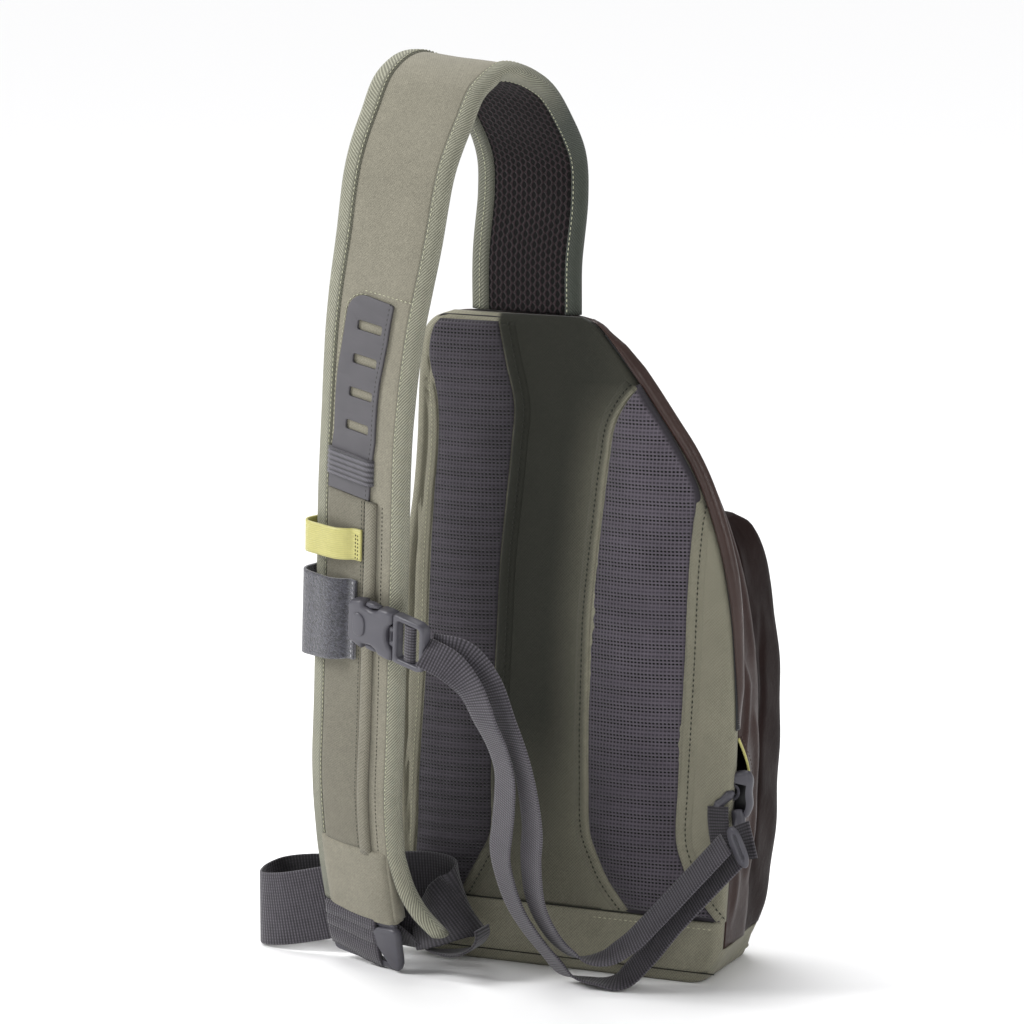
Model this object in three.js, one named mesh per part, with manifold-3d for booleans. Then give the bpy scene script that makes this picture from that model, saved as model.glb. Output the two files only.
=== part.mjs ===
// Sling bag with one wide shoulder strap, standing on its base.
// Millimetres, +Z up. The origin is the middle of the base on the floor, the wearer's side faces -Y.
import * as THREE from 'three';
import { mergeVertices } from 'three/addons/utils/BufferGeometryUtils.js';
import Module from 'manifold-3d';

const wasm = await Module();
wasm.setup();

// Driving dimensions of the pack
const packHeight = 440;
const halfWidth = 120;
const backSet = 50;
const packDepth = 112;
const panelThick = 6;
const shellWall = 2.4;
const baseHeight = 25;
const bandHeight = 44;
const baseWall = 2.8;
const padRise = 10.5;
const padEdge = 3;
const rollWidth = 6;
const rollDepth = 11;
const rollDrop = 11;
const rollPast = 4.4;
const zipWidth = 5;
const zipThick = 1.2;
const openingDepth = 11;
const openingMiddle = 134;
const openingHalf = 36;
const trimWidth = 2.2;

// Driving dimensions of the shoulder strap
const loopRise = 167;
const strapReach = 150;
const strapWidth = 78;
const strapFoam = 9.4;
const liningThick = 2.3;
const bindingWidth = 9;
const bindingBulge = 1.2;
const hemLength = 50;
const strapPocketLength = 258;
const strapPocketThick = 2;
const foldWidth = 8;
const foldThick = 4;
const dockLength = 130;
const dockWidth = 36;
const dockThick = 2.2;
const dockNotch = 5;
const slotDrop = 18.2;
const slotInset = 15.1;
const slotLength = 19;
const slotHeight = 6.5;
const slotPitch = 22;
const elasticWidth = 41;
const elasticHeight = 17;
const elasticThick = 1.6;
const elasticRise = 10.2;
const elasticPast = 2;
const tabHeight = 22;
const tabStandOff = 5;
const tabThick = 1.4;
const patchHeight = 56;
const patchStandOff = 6;
const patchThick = 1.8;
const sewnLength = 7;
const bendLength = 12;
const edgeRound = 2;

// Driving dimensions of the webbing and its plastic parts
const narrowWidth = 25;
const wideWidth = 50;
const webbingThick = 1.6;
const buckleLength = 66;
const buckleWidth = 34;
const buckleThick = 10;
const buckleBar = 4;
const buckleSplit = 38.3;
const buckleNose = 11.5;
const slotEase = 0.6;
const buckleBevel = 0.8;
const lockLength = 37.5;
const lockThick = 4;
const lockRim = 5;
const lockSlot = 6;
const lockEdge = 5;
const endShift = 6.5;
const glideThick = 3;
const glideRim = 3;
const glideSlot = 4;
const sideLength = 28;
const sideHeight = 24;
const sideOut = 2;
const sideDrop = 4;
const glideOut = 8;
const glideStand = 16;
const glideDrop = 32;
const narrowGap = 7;
const webbingApart = 3.4;
const lyingHeight = 3.2;
const clearance = 0.3;

const backY = -backSet;
const panelInnerY = backY + panelThick;
const shellRearY = panelInnerY + clearance;
const strapThick = strapFoam + clearance + liningThick;
const degree = Math.PI / 180;

// Outline and depth of the pack: heights are shares of packHeight, sides of halfWidth,
// front and corner of packDepth behind the back panel's face
const bodyRows = [
  { up: 0.057, left: -0.942, right: 0.933, front: 0.571, corner: 0.21 },
  { up: 0.127, left: -0.962, right: 0.95, front: 0.589, corner: 0.22 },
  { up: 0.239, left: -0.975, right: 0.975, front: 0.598, corner: 0.22 },
  { up: 0.325, left: -0.983, right: 0.995, front: 0.589, corner: 0.22 },
  { up: 0.402, left: -0.983, right: 1.002, front: 0.571, corner: 0.22 },
  { up: 0.498, left: -0.975, right: 0.988, front: 0.536, corner: 0.21 },
  { up: 0.566, left: -0.97, right: 0.968, front: 0.491, corner: 0.2 },
  { up: 0.62, left: -0.96, right: 0.938, front: 0.446, corner: 0.19 },
  { up: 0.67, left: -0.938, right: 0.898, front: 0.406, corner: 0.18 },
  { up: 0.718, left: -0.913, right: 0.842, front: 0.366, corner: 0.17 },
  { up: 0.764, left: -0.896, right: 0.773, front: 0.339, corner: 0.16 },
  { up: 0.805, left: -0.885, right: 0.692, front: 0.317, corner: 0.15 },
  { up: 0.843, left: -0.879, right: 0.596, front: 0.295, corner: 0.14 },
  { up: 0.889, left: -0.872, right: 0.475, front: 0.268, corner: 0.12 },
  { up: 0.93, left: -0.863, right: 0.358, front: 0.246, corner: 0.11 },
  { up: 0.968, left: -0.84, right: 0.245, front: 0.223, corner: 0.1 },
  { up: 0.99, left: -0.77, right: 0.165, front: 0.2, corner: 0.09 },
  { up: 1, left: -0.67, right: 0.085, front: 0.17, corner: 0.07 },
];

// Front pocket, in the same shares as the pack
const pocketRows = [
  { up: 0.058, left: -0.79, right: 0.905, front: 0.9, corner: 0.22 },
  { up: 0.09, left: -0.815, right: 0.93, front: 0.945, corner: 0.235 },
  { up: 0.139, left: -0.835, right: 0.95, front: 0.965, corner: 0.24 },
  { up: 0.22, left: -0.85, right: 0.971, front: 0.982, corner: 0.24 },
  { up: 0.32, left: -0.858, right: 0.988, front: 1, corner: 0.235 },
  { up: 0.4, left: -0.855, right: 0.99, front: 1, corner: 0.23 },
  { up: 0.498, left: -0.842, right: 0.967, front: 0.97, corner: 0.22 },
  { up: 0.585, left: -0.82, right: 0.93, front: 0.93, corner: 0.2 },
  { up: 0.643, left: -0.785, right: 0.895, front: 0.9, corner: 0.18 },
  { up: 0.675, left: -0.74, right: 0.84, front: 0.84, corner: 0.16 },
  { up: 0.692, left: -0.68, right: 0.77, front: 0.72, corner: 0.13 },
];

// Base tray: heights are shares of baseHeight, rear of packDepth in front of the back panel's face
const trayRows = [
  { up: 0, left: -0.85, right: 0.785, front: 0.84, rear: 0.05, corner: 0.18 },
  { up: 0.09, left: -0.875, right: 0.815, front: 0.86, rear: 0.022, corner: 0.19 },
  { up: 0.36, left: -0.912, right: 0.86, front: 0.885, rear: 0.004, corner: 0.2 },
  { up: 0.66, left: -0.933, right: 0.9, front: 0.9, rear: 0, corner: 0.21 },
  { up: 1, left: -0.942, right: 0.933, front: 0.905, rear: 0, corner: 0.21 },
];

// Mesh pads: edges as shares of halfWidth at shares of packHeight
const leftPadRows = [
  { up: 0.112, left: -0.93, right: -0.62 },
  { up: 0.165, left: -0.925, right: -0.49 },
  { up: 0.207, left: -0.915, right: -0.416 },
  { up: 0.295, left: -0.904, right: -0.411 },
  { up: 0.402, left: -0.875, right: -0.398 },
  { up: 0.5, left: -0.85, right: -0.38 },
  { up: 0.62, left: -0.832, right: -0.358 },
  { up: 0.725, left: -0.807, right: -0.315 },
  { up: 0.8, left: -0.782, right: -0.287 },
  { up: 0.866, left: -0.765, right: -0.27 },
  { up: 0.94, left: -0.79, right: -0.327 },
  { up: 0.984, left: -0.765, right: -0.36 },
];
const rightPadRows = [
  { up: 0.112, left: 0.36, right: 0.93 },
  { up: 0.148, left: 0.248, right: 0.81 },
  { up: 0.182, left: 0.185, right: 0.745 },
  { up: 0.223, left: 0.132, right: 0.7 },
  { up: 0.3, left: 0.124, right: 0.71 },
  { up: 0.38, left: 0.122, right: 0.722 },
  { up: 0.48, left: 0.132, right: 0.735 },
  { up: 0.55, left: 0.142, right: 0.74 },
  { up: 0.632, left: 0.17, right: 0.752 },
  { up: 0.727, left: 0.212, right: 0.755 },
  { up: 0.793, left: 0.243, right: 0.665 },
  { up: 0.843, left: 0.272, right: 0.56 },
  { up: 0.88, left: 0.32, right: 0.465 },
  { up: 0.902, left: 0.37, right: 0.41 },
];

// Middle line of the shoulder strap from its root: across in shares of halfWidth, out in shares of
// strapReach, up to 1 in shares of packHeight and past 1 in shares of loopRise above the pack
const strapRows = [
  { across: -0.275, out: 0, up: 1.005, turn: 0, roll: 0 },
  { across: -0.271, out: 0.004, up: 1.217, turn: 0, roll: 0 },
  { across: -0.233, out: 0.013, up: 1.47, turn: 0, roll: 0 },
  { across: -0.225, out: 0.045, up: 1.625, turn: 0, roll: 0 },
  { across: -0.233, out: 0.187, up: 1.79, turn: 0, roll: -2 },
  { across: -0.266, out: 0.353, up: 1.928, turn: 0, roll: -4 },
  { across: -0.373, out: 0.567, up: 2, turn: 0, roll: -6 },
  { across: -0.423, out: 0.733, up: 1.946, turn: 1, roll: -6 },
  { across: -0.441, out: 0.847, up: 1.825, turn: 2, roll: -5 },
  { across: -0.466, out: 0.967, up: 1.65, turn: 4, roll: -3 },
  { across: -0.516, out: 1, up: 1.373, turn: 8, roll: 0 },
  { across: -0.596, out: 1, up: 1.06, turn: 14, roll: 0 },
  { across: -0.666, out: 0.967, up: 0.882, turn: 19, roll: 0 },
  { across: -0.716, out: 0.92, up: 0.77, turn: 19, roll: 0 },
  { across: -0.766, out: 0.853, up: 0.668, turn: 19, roll: 0 },
  { across: -0.833, out: 0.767, up: 0.539, turn: 19, roll: 0 },
  { across: -0.908, out: 0.667, up: 0.411, turn: 19, roll: 0 },
  { across: -0.983, out: 0.567, up: 0.295, turn: 19, roll: 0 },
  { across: -1.008, out: 0.487, up: 0.195, turn: 19, roll: 0 },
  { across: -1.016, out: 0.393, up: 0.095, turn: 19, roll: 0 },
];
const strapSteps = 50;
const slotCount = 4;

// Flare of the right binding's lower end, along in shares of hemLength, out in shares of strapWidth
const flareRows = [
  { along: 0, out: 0.4 },
  { along: 0.2, out: 0.21 },
  { along: 0.5, out: 0.08 },
  { along: 1, out: 0 },
];

// Values between the rows of a table, as a smooth curve through one column
function columnOf(table, key, name) {
  const xs = table.map((row) => row[key]);
  const ys = table.map((row) => row[name]);
  const last = xs.length - 1;
  const slopes = xs.map((_, i) => {
    const a = Math.max(i - 1, 0);
    const b = Math.min(i + 1, last);
    return (ys[b] - ys[a]) / (xs[b] - xs[a]);
  });
  return (x) => {
    let i = 0;
    while (i < last - 1 && x > xs[i + 1]) i += 1;
    const span = xs[i + 1] - xs[i];
    const t = Math.min(Math.max((x - xs[i]) / span, 0), 1);
    const rise = t * t * (3 - 2 * t);
    const lead = t * (1 - t) * (1 - t) * slopes[i] * span;
    const trail = t * t * (t - 1) * slopes[i + 1] * span;
    return ys[i] * (1 - rise) + ys[i + 1] * rise + lead + trail;
  };
}

function range(count) {
  return Array.from({ length: count }, (_, i) => i);
}

function mix(a, b, t) {
  return a + (b - a) * t;
}

// Geometry from points and triangles, turned so that its faces point out
function solidOf(points, faces) {
  let volume = 0;
  const cross = new THREE.Vector3();
  for (let i = 0; i < faces.length; i += 3) {
    const [a, b, c] = [points[faces[i]], points[faces[i + 1]], points[faces[i + 2]]];
    volume += a.dot(cross.crossVectors(b, c));
  }
  const turned = volume < 0 ? faces.slice().reverse() : faces;
  const geometry = new THREE.BufferGeometry();
  geometry.setAttribute('position', new THREE.Float32BufferAttribute(points.flatMap((p) => p.toArray()), 3));
  geometry.setIndex(turned);
  return geometry;
}

// Solid through rings of equal count, with flat caps, or closed on itself
function loft(rings, closed = false) {
  const count = rings[0].length;
  const points = rings.flat();
  const faces = [];
  const spans = closed ? rings.length : rings.length - 1;
  for (const k of range(spans)) {
    const next = (k + 1) % rings.length;
    for (const i of range(count)) {
      const j = (i + 1) % count;
      const [a, b, c, d] = [k * count + i, k * count + j, next * count + j, next * count + i];
      faces.push(a, b, c, a, c, d);
    }
  }
  if (!closed) {
    for (const [k, flip] of [[0, true], [rings.length - 1, false]]) {
      const middle = points.length;
      const sum = rings[k].reduce((total, p) => total.add(p), new THREE.Vector3());
      points.push(sum.divideScalar(count));
      for (const i of range(count)) {
        const [a, b] = [k * count + i, k * count + (i + 1) % count];
        faces.push(...(flip ? [middle, b, a] : [middle, a, b]));
      }
    }
  }
  return solidOf(points, faces);
}

// Manifold solid from a geometry, and back
function solidFrom(geometry) {
  const plain = geometry.clone();
  plain.deleteAttribute('normal');
  plain.deleteAttribute('uv');
  const merged = mergeVertices(plain, 1e-4);
  return new wasm.Manifold(new wasm.Mesh({
    numProp: 3,
    vertProperties: new Float32Array(merged.attributes.position.array),
    triVerts: new Uint32Array(merged.index.array),
  }));
}

function geometryFrom(solid) {
  const mesh = solid.getMesh();
  const geometry = new THREE.BufferGeometry();
  geometry.setAttribute('position', new THREE.BufferAttribute(mesh.vertProperties, 3));
  geometry.setIndex(new THREE.BufferAttribute(mesh.triVerts, 1));
  return geometry;
}

function cut(geometry, ...tools) {
  const result = tools.reduce((solid, tool) => solid.subtract(solidFrom(tool)), solidFrom(geometry));
  return geometryFrom(result);
}

function join(geometry, ...others) {
  const result = others.reduce((solid, other) => solid.add(solidFrom(other)), solidFrom(geometry));
  return geometryFrom(result);
}

// Horizontal section of the pack: rear left, round the front, to rear right
function packRing({ z, left, right, rear, front, corner, inset = 0 }) {
  const [x0, x1, y1] = [left + inset, right - inset, front - inset];
  const r = Math.max(corner - inset, 1);
  const points = [];
  for (const t of [0, 0.3, 0.65]) points.push([x0, mix(rear, y1 - r, t)]);
  for (const i of range(5)) {
    const a = (i / 4) * Math.PI / 2;
    points.push([x0 + r - r * Math.cos(a), y1 - r + r * Math.sin(a)]);
  }
  for (const t of [0.33, 0.67]) points.push([mix(x0 + r, x1 - r, t), y1]);
  for (const i of range(5)) {
    const a = (i / 4) * Math.PI / 2;
    points.push([x1 - r + r * Math.sin(a), y1 - r + r * Math.cos(a)]);
  }
  for (const t of [0.35, 0.7, 1]) points.push([x1, mix(y1 - r, rear, t)]);
  return points.map(([x, y]) => new THREE.Vector3(x, y, z));
}

function sectionOf(row, rear, extra = {}) {
  return {
    z: row.up * packHeight,
    left: row.left * halfWidth,
    right: row.right * halfWidth,
    front: backY + row.front * packDepth,
    corner: row.corner * packDepth,
    rear,
    ...extra,
  };
}

const sideLeft = columnOf(bodyRows, 'up', 'left');
const sideRight = columnOf(bodyRows, 'up', 'right');
const bodyFront = columnOf(bodyRows, 'up', 'front');
const bodyCorner = columnOf(bodyRows, 'up', 'corner');
const bodyAt = (up) => ({
  up,
  left: sideLeft(up),
  right: sideRight(up),
  front: bodyFront(up),
  corner: bodyCorner(up),
});
const firstUp = (baseHeight + clearance) / packHeight;
const wallRows = [bodyAt(firstUp), ...bodyRows.filter((row) => row.up > firstUp + 0.01)];

// Solid filling the pack's outline, grown or shrunk, between its rear and its front
function packSolid(rows, rear, inset) {
  return loft(rows.map((row) => packRing(sectionOf(row, rear, { inset }))));
}

// Flat board on the back: rows of points along the outline, from backY to backY + thick
function boardOf(rows, thick, edge) {
  return loft(rows.map((row) => {
    const [x0, x1, z] = [row.left * halfWidth, row.right * halfWidth, row.up * packHeight];
    const middle = (x0 + x1) / 2;
    const section = [
      [x0, backY + edge], [x0 + edge, backY], [middle, backY], [x1 - edge, backY],
      [x1, backY + edge], [x1, backY + thick], [middle, backY + thick], [x0, backY + thick],
    ];
    return section.map(([x, y]) => new THREE.Vector3(x, y, z));
  }));
}

// Pillow on the board: rises to padRise along its middle and falls to padEdge at its outline
function pillowOf(rows) {
  const seat = backY - clearance;
  const across = [0, 0.12, 0.3, 0.5, 0.7, 0.88, 1];
  const last = rows.length - 1;
  return loft(rows.map((row, k) => {
    const [x0, x1, z] = [row.left * halfWidth, row.right * halfWidth, row.up * packHeight];
    const end = k === 0 || k === last ? 0 : Math.min(1, 0.75 + 0.25 * Math.min(k - 1, last - 1 - k));
    const face = across.map((t) => {
      const height = padEdge + (padRise - padEdge) * end * (1 - (2 * t - 1) ** 4);
      return new THREE.Vector3(mix(x0, x1, t), seat - height, z);
    });
    const foot = [1, 0.5, 0].map((t) => new THREE.Vector3(mix(x0, x1, t), seat, z));
    return [...face, ...foot];
  }));
}

// Frames along a path: place, the way across, the way out of the face, and the length so far
function framesAlong(places, acrossAt) {
  const curve = new THREE.CatmullRomCurve3(places, false, 'centripetal');
  return (t) => {
    const place = curve.getPoint(t);
    const along = curve.getTangent(t);
    const across = acrossAt(t, along);
    across.addScaledVector(along, -across.dot(along)).normalize();
    const out = new THREE.Vector3().crossVectors(along, across).normalize();
    return { place, along, across, out };
  };
}

function at(frame, side, height) {
  return frame.place.clone().addScaledVector(frame.across, side).addScaledVector(frame.out, height);
}

function sweep(frames, section) {
  return loft(frames.map((frame, k) => {
    const outline = typeof section === 'function' ? section(k) : section;
    return outline.map(([side, height]) => at(frame, side, height));
  }));
}

function barSection(left, right, low, high, columns = 1) {
  const sides = range(columns + 1).map((i) => mix(left, right, i / columns));
  return [...sides.map((x) => [x, low]), ...sides.reverse().map((x) => [x, high])];
}

// Shoulder strap
const heightOf = (up) => (up < 1 ? up * packHeight : packHeight + (up - 1) * loopRise);
const rootY = panelInnerY + strapThick / 2 - clearance;
const strapPlaces = strapRows.map((row) => new THREE.Vector3(
  row.across * halfWidth, rootY - row.out * strapReach, heightOf(row.up)));
const rowAt = (name) => {
  const rows = strapRows.map((row, i) => ({ t: i / (strapRows.length - 1), value: row[name] }));
  return columnOf(rows, 't', 'value');
};
const turnAt = rowAt('turn');
const rollAt = rowAt('roll');
const strapFrameAt = framesAlong(strapPlaces, (t) => {
  const turn = turnAt(t) * degree;
  return new THREE.Vector3(Math.cos(turn), -Math.sin(turn), Math.tan(rollAt(t) * degree));
});

// Length from the strap's lower end, at even steps of the path
const tally = [{ t: 1, length: 0 }];
const fine = 300;
for (const i of range(fine)) {
  const t = 1 - (i + 1) / fine;
  const before = tally[i];
  const step = strapFrameAt(t).place.distanceTo(strapFrameAt(before.t).place);
  tally.push({ t, length: before.length + step });
}
const strapLength = tally[fine].length;

// Frame of the strap at a length from its lower end, past the end along a straight line
function strapFrame(length) {
  if (length <= 0) {
    const frame = strapFrameAt(1);
    return { ...frame, place: frame.place.clone().addScaledVector(frame.along, -length) };
  }
  const k = Math.min(tally.findIndex((entry) => entry.length >= length), fine);
  const [a, b] = [tally[k - 1], tally[k]];
  return strapFrameAt(mix(a.t, b.t, (length - a.length) / (b.length - a.length)));
}

function strapFrames(from, to, steps) {
  return range(steps + 1).map((i) => strapFrame(mix(from, to, i / steps)));
}

const outerFace = strapThick / 2;
const padHalf = strapWidth / 2 - bindingWidth - clearance;
const padColumns = 5;
const padColumn = 2 * padHalf / padColumns;

// Flat piece lying on the strap's outer face
function strapPatch({ from, to, left, right, low = clearance, thick, step = 11 }) {
  const steps = Math.max(1, Math.ceil((to - from) / step));
  const columns = Math.ceil((right - left) / padColumn);
  const section = barSection(left, right, outerFace + low, outerFace + low + thick, columns);
  return sweep(strapFrames(from, to, steps), section);
}

// Closer steps towards the lower end
const strapLengths = range(strapSteps + 1).map((i) => strapLength * (i / strapSteps) ** 1.15);
const strapAll = strapLengths.map(strapFrame);
const foamSection = barSection(-padHalf, padHalf, outerFace - strapFoam, outerFace, padColumns);
const liningSection = barSection(-padHalf, padHalf, -outerFace, -outerFace + liningThick, padColumns);

function bindingSection(side, flare) {
  const [w, h] = [bindingWidth / 2, outerFace + bindingBulge];
  const middle = side * (strapWidth / 2 - w) + flare;
  const shape = [[-1, -0.5], [-0.5, -1], [0.5, -1], [1, -0.5], [1, 0.5], [0.5, 1], [-0.5, 1], [-1, 0.5]];
  return shape.map(([x, y]) => [middle + x * w, y * h]);
}

function strapBinding(side, flareTo) {
  const flareOut = columnOf(flareRows, 'along', 'out');
  return sweep(strapAll, (k) => {
    const along = strapLengths[k] / hemLength;
    return bindingSection(side, along < 1 ? flareTo * flareOut(along) * strapWidth : 0);
  });
}

// Places of the pieces on the strap, as lengths from its lower end
const pocketTop = hemLength + strapPocketLength;
const dockStart = pocketTop + 2 * clearance;
const dockRight = padHalf * 0.3;
const dockTopRight = padHalf * 0.52;
const foldMiddle = padHalf * 0.33;
const pocketRight = foldMiddle - foldWidth / 2 - clearance;

// Dock panel with its slots, leaning a little across the strap
function toolDock() {
  const steps = 12;
  const frames = strapFrames(dockStart, dockStart + dockLength, steps);
  const lean = (t) => mix(dockRight, dockTopRight, t);
  const panel = sweep(frames, (k) => {
    const t = k / steps;
    const narrow = k === steps ? dockNotch : 0;
    return barSection(lean(t) - dockWidth + narrow, lean(t) - narrow, outerFace + clearance,
      outerFace + clearance + dockThick, 3);
  });
  const slots = range(slotCount).map((i) => {
    const middle = dockLength - slotDrop - i * slotPitch;
    const t = middle / dockLength;
    const centre = lean(t) - slotInset;
    const from = dockStart + middle - slotHeight / 2;
    const [left, right] = [centre - slotLength / 2, centre + slotLength / 2];
    const section = barSection(left, right, outerFace - dockThick, outerFace + 2 * dockThick);
    return sweep(strapFrames(from, from + slotHeight, 1), section);
  });
  return cut(panel, ...slots);
}

// Band that stands off the strap's face and comes down past its left edge
function standingLoop({ from, to, right, standOff, thick, slant = 0 }) {
  const low = outerFace + strapPocketThick + 2 * clearance;
  const edge = -strapWidth / 2 - clearance;
  const bend = right - sewnLength;
  const line = [
    [right, low], [bend, low], [bend - bendLength * 0.42, low + standOff * 0.55],
    [bend - bendLength, low + standOff], [mix(right, edge, 0.7), low + standOff],
    [edge + edgeRound, low + standOff * 0.8], [edge, low + standOff * 0.25], [edge, 0],
  ];
  const outer = line.map(([x, y], i) => {
    const a = line[Math.max(i - 1, 0)];
    const b = line[Math.min(i + 1, line.length - 1)];
    const size = Math.hypot(b[0] - a[0], b[1] - a[1]);
    return [x + (b[1] - a[1]) / size * thick, y - (b[0] - a[0]) / size * thick];
  });
  const steps = Math.max(2, Math.round((to - from) / 12));
  const strips = range(line.length).map((i) => {
    const low0 = mix(from, from + slant, 1 - i / (line.length - 1));
    return range(steps + 1).map((k) => strapFrame(mix(low0, to, k / steps)));
  });
  const rings = strips.map((frames, i) => {
    const inside = frames.map((frame) => at(frame, line[i][0], line[i][1]));
    const outside = frames.map((frame) => at(frame, outer[i][0], outer[i][1]));
    return [...inside, ...outside.reverse()];
  });
  return loft(rings);
}

// Plate with a drawn outline and holes, its thickness centred on the face
function plateOf(outline, holes, thick, bevel) {
  const drawn = (points) => new THREE.Shape(points.map(([x, y]) => new THREE.Vector2(x, y)));
  const plate = new THREE.ExtrudeGeometry(drawn(outline), {
    depth: thick - 2 * bevel,
    bevelThickness: bevel,
    bevelSize: bevel,
    bevelOffset: -bevel,
    bevelSegments: 1,
  });
  plate.translate(0, 0, bevel - thick / 2);
  const tools = holes.map((hole) => {
    const tool = new THREE.ExtrudeGeometry(drawn(hole), { depth: 2 * thick, bevelEnabled: false });
    return tool.translate(0, 0, -thick);
  });
  return cut(plate, ...tools);
}

function box(x0, x1, y0, y1) {
  return [[x0, y0], [x1, y0], [x1, y1], [x0, y1]];
}

// Rounded box outline
function pad4(x0, x1, y0, y1, r) {
  const corners = [[x1 - r, y0 + r], [x1 - r, y1 - r], [x0 + r, y1 - r], [x0 + r, y0 + r]];
  return corners.flatMap(([x, y], quarter) => [-1, -0.5, 0].map((turn) => {
    const a = (quarter + turn) * Math.PI / 2;
    return [x + r * Math.cos(a), y + r * Math.sin(a)];
  }));
}

// Geometry placed on a frame: its X across, its Y along, its Z out
function placeOn(geometry, frame, side, along, out) {
  const back = frame.along.clone().negate();
  const matrix = new THREE.Matrix4().makeBasis(frame.across, back, frame.out);
  const origin = at(frame, side, out).addScaledVector(back, along);
  matrix.setPosition(origin);
  return geometry.clone().applyMatrix4(matrix);
}

// Point of the pack's right outline, pushed out of it, at a depth
function rightEdge(up, push, y) {
  const step = 0.01;
  const rise = 2 * step * packHeight;
  const run = (sideRight(up + step) - sideRight(up - step)) * halfWidth;
  const size = Math.hypot(rise, run);
  const [x, z] = [sideRight(up) * halfWidth, up * packHeight];
  return new THREE.Vector3(x + push * rise / size, y, z - push * run / size);
}

// Strip along the right outline, pushed out by low to high, between two depths
function edgeStrip({ from, to, low, high, rear, front, steps }) {
  const [y0, y1] = [rear, front];
  const soft = Math.min(high - low, y1 - y0) * 0.3;
  return loft(range(steps + 1).map((i) => {
    const up = mix(from, to, i / steps);
    return [
      rightEdge(up, low, y0 + soft), rightEdge(up, low + soft, y0), rightEdge(up, high - soft, y0),
      rightEdge(up, high, y0 + soft), rightEdge(up, high, y1 - soft), rightEdge(up, high - soft, y1),
      rightEdge(up, low + soft, y1), rightEdge(up, low, y1 - soft),
    ];
  }));
}

// Lens-shaped tool for the opening between the back panel and the right wall
function lensTool(depth) {
  const steps = 8;
  const [inside, outside] = [halfWidth - rollDepth - openingHalf / 2, halfWidth + openingHalf];
  return loft(range(steps + 1).map((i) => {
    const s = (2 * i) / steps - 1;
    const z = openingMiddle + s * (openingHalf - openingDepth + depth);
    const y1 = shellRearY + Math.max(depth * (1 - s * s), 0.05);
    return box(inside, outside, shellRearY - shellWall, y1)
      .map(([x, y]) => new THREE.Vector3(x, y, z));
  }));
}

function hollowTool(rows, rear, wall, drop) {
  const last = rows.length - 1;
  return loft(rows.map((row, k) => {
    const section = sectionOf(row, rear, { inset: wall });
    if (k === 0) section.z -= drop;
    if (k === last) section.z -= wall;
    return packRing(section);
  }));
}

const shellOuter = () => packSolid(wallRows, shellRearY, 0);
const shellHollow = () => hollowTool(wallRows, shellRearY - 2 * shellWall, shellWall, shellWall);
const mainShell = cut(shellOuter(), shellHollow(), lensTool(openingDepth));

function openingTrim() {
  const wall = solidFrom(shellOuter()).subtract(solidFrom(shellHollow()));
  const lens = solidFrom(lensTool(openingDepth - clearance));
  const rest = solidFrom(lensTool(openingDepth - clearance - trimWidth));
  return geometryFrom(wall.intersect(lens).subtract(rest));
}

function frontPocket() {
  const rear = backY + 0.3 * packDepth;
  const grown = loft(wallRows.map((row, k) => {
    const section = sectionOf(row, rear - packDepth, { inset: -clearance });
    if (k === 0) section.z -= baseHeight;
    return packRing(section);
  }));
  const outer = packSolid(pocketRows, rear, 0);
  const hollow = hollowTool(pocketRows, rear - 1, shellWall, -shellWall);
  return cut(outer, hollow, grown);
}

function baseTray() {
  const ring = (row, inset, z) => packRing({
    ...sectionOf(row, backY + row.rear * packDepth + inset, { inset }),
    z,
  });
  const outer = loft(trayRows.map((row) => ring(row, 0, row.up * baseHeight)));
  const hollow = loft(trayRows.map((row) => ring(row, baseWall, baseWall + row.up * baseHeight)));
  const low = (baseHeight - baseWall) / packHeight;
  const high = bandHeight / packHeight;
  const band = boardOf([low, high].map(bodyAt), panelThick, 1);
  return join(cut(outer, hollow), band);
}

const panelRows = [bodyAt((bandHeight + clearance) / packHeight), ...bodyRows.slice(1)];

// Buckle halves lying flat: X along the buckle, Y across it
const half = buckleWidth / 2;
const throat = half * 0.7;
const webSlot = narrowWidth / 2 + slotEase;

function buckleFemale() {
  const outline = [
    [0, -half * 0.85], [buckleNose, -half], [buckleNose, -throat], [buckleSplit, -throat],
    [buckleSplit, throat], [buckleNose, throat], [buckleNose, half], [0, half * 0.85],
  ];
  return plateOf(outline, [box(buckleBar, buckleBar * 2, -webSlot, webSlot)], buckleThick, buckleBevel);
}

function buckleMale() {
  const [start, arm] = [buckleSplit + clearance, throat + clearance];
  const tip = buckleNose + clearance;
  const outline = [
    [buckleLength, -half * 0.92], [buckleLength, half * 0.92], [start + 2, half], [tip + 1, half * 0.97],
    [tip, arm + 0.6], [start, arm], [start, -arm], [tip, -arm - 0.6], [tip + 1, -half * 0.97],
    [start + 2, -half],
  ];
  const end = buckleLength - buckleBar * 0.8;
  const bar = (start + 3 + end) / 2;
  const windows = [
    box(start + 3, bar - buckleBar / 2, -webSlot, webSlot),
    box(bar + buckleBar / 2, end, -webSlot, webSlot),
  ];
  return plateOf(outline, windows, buckleThick * 0.8, buckleBevel);
}

// Side pieces are named by the strap's length where they lie
const patchFrom = hemLength + strapPocketLength * 0.56;
const tabFrom = patchFrom + patchHeight + tabHeight * 0.7;
const buckleAlong = patchFrom + patchHeight * 0.6;
const buckleSide = strapWidth * 0.085;
const buckleLift = outerFace + foldThick + 2 * clearance + buckleThick / 2;

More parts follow.
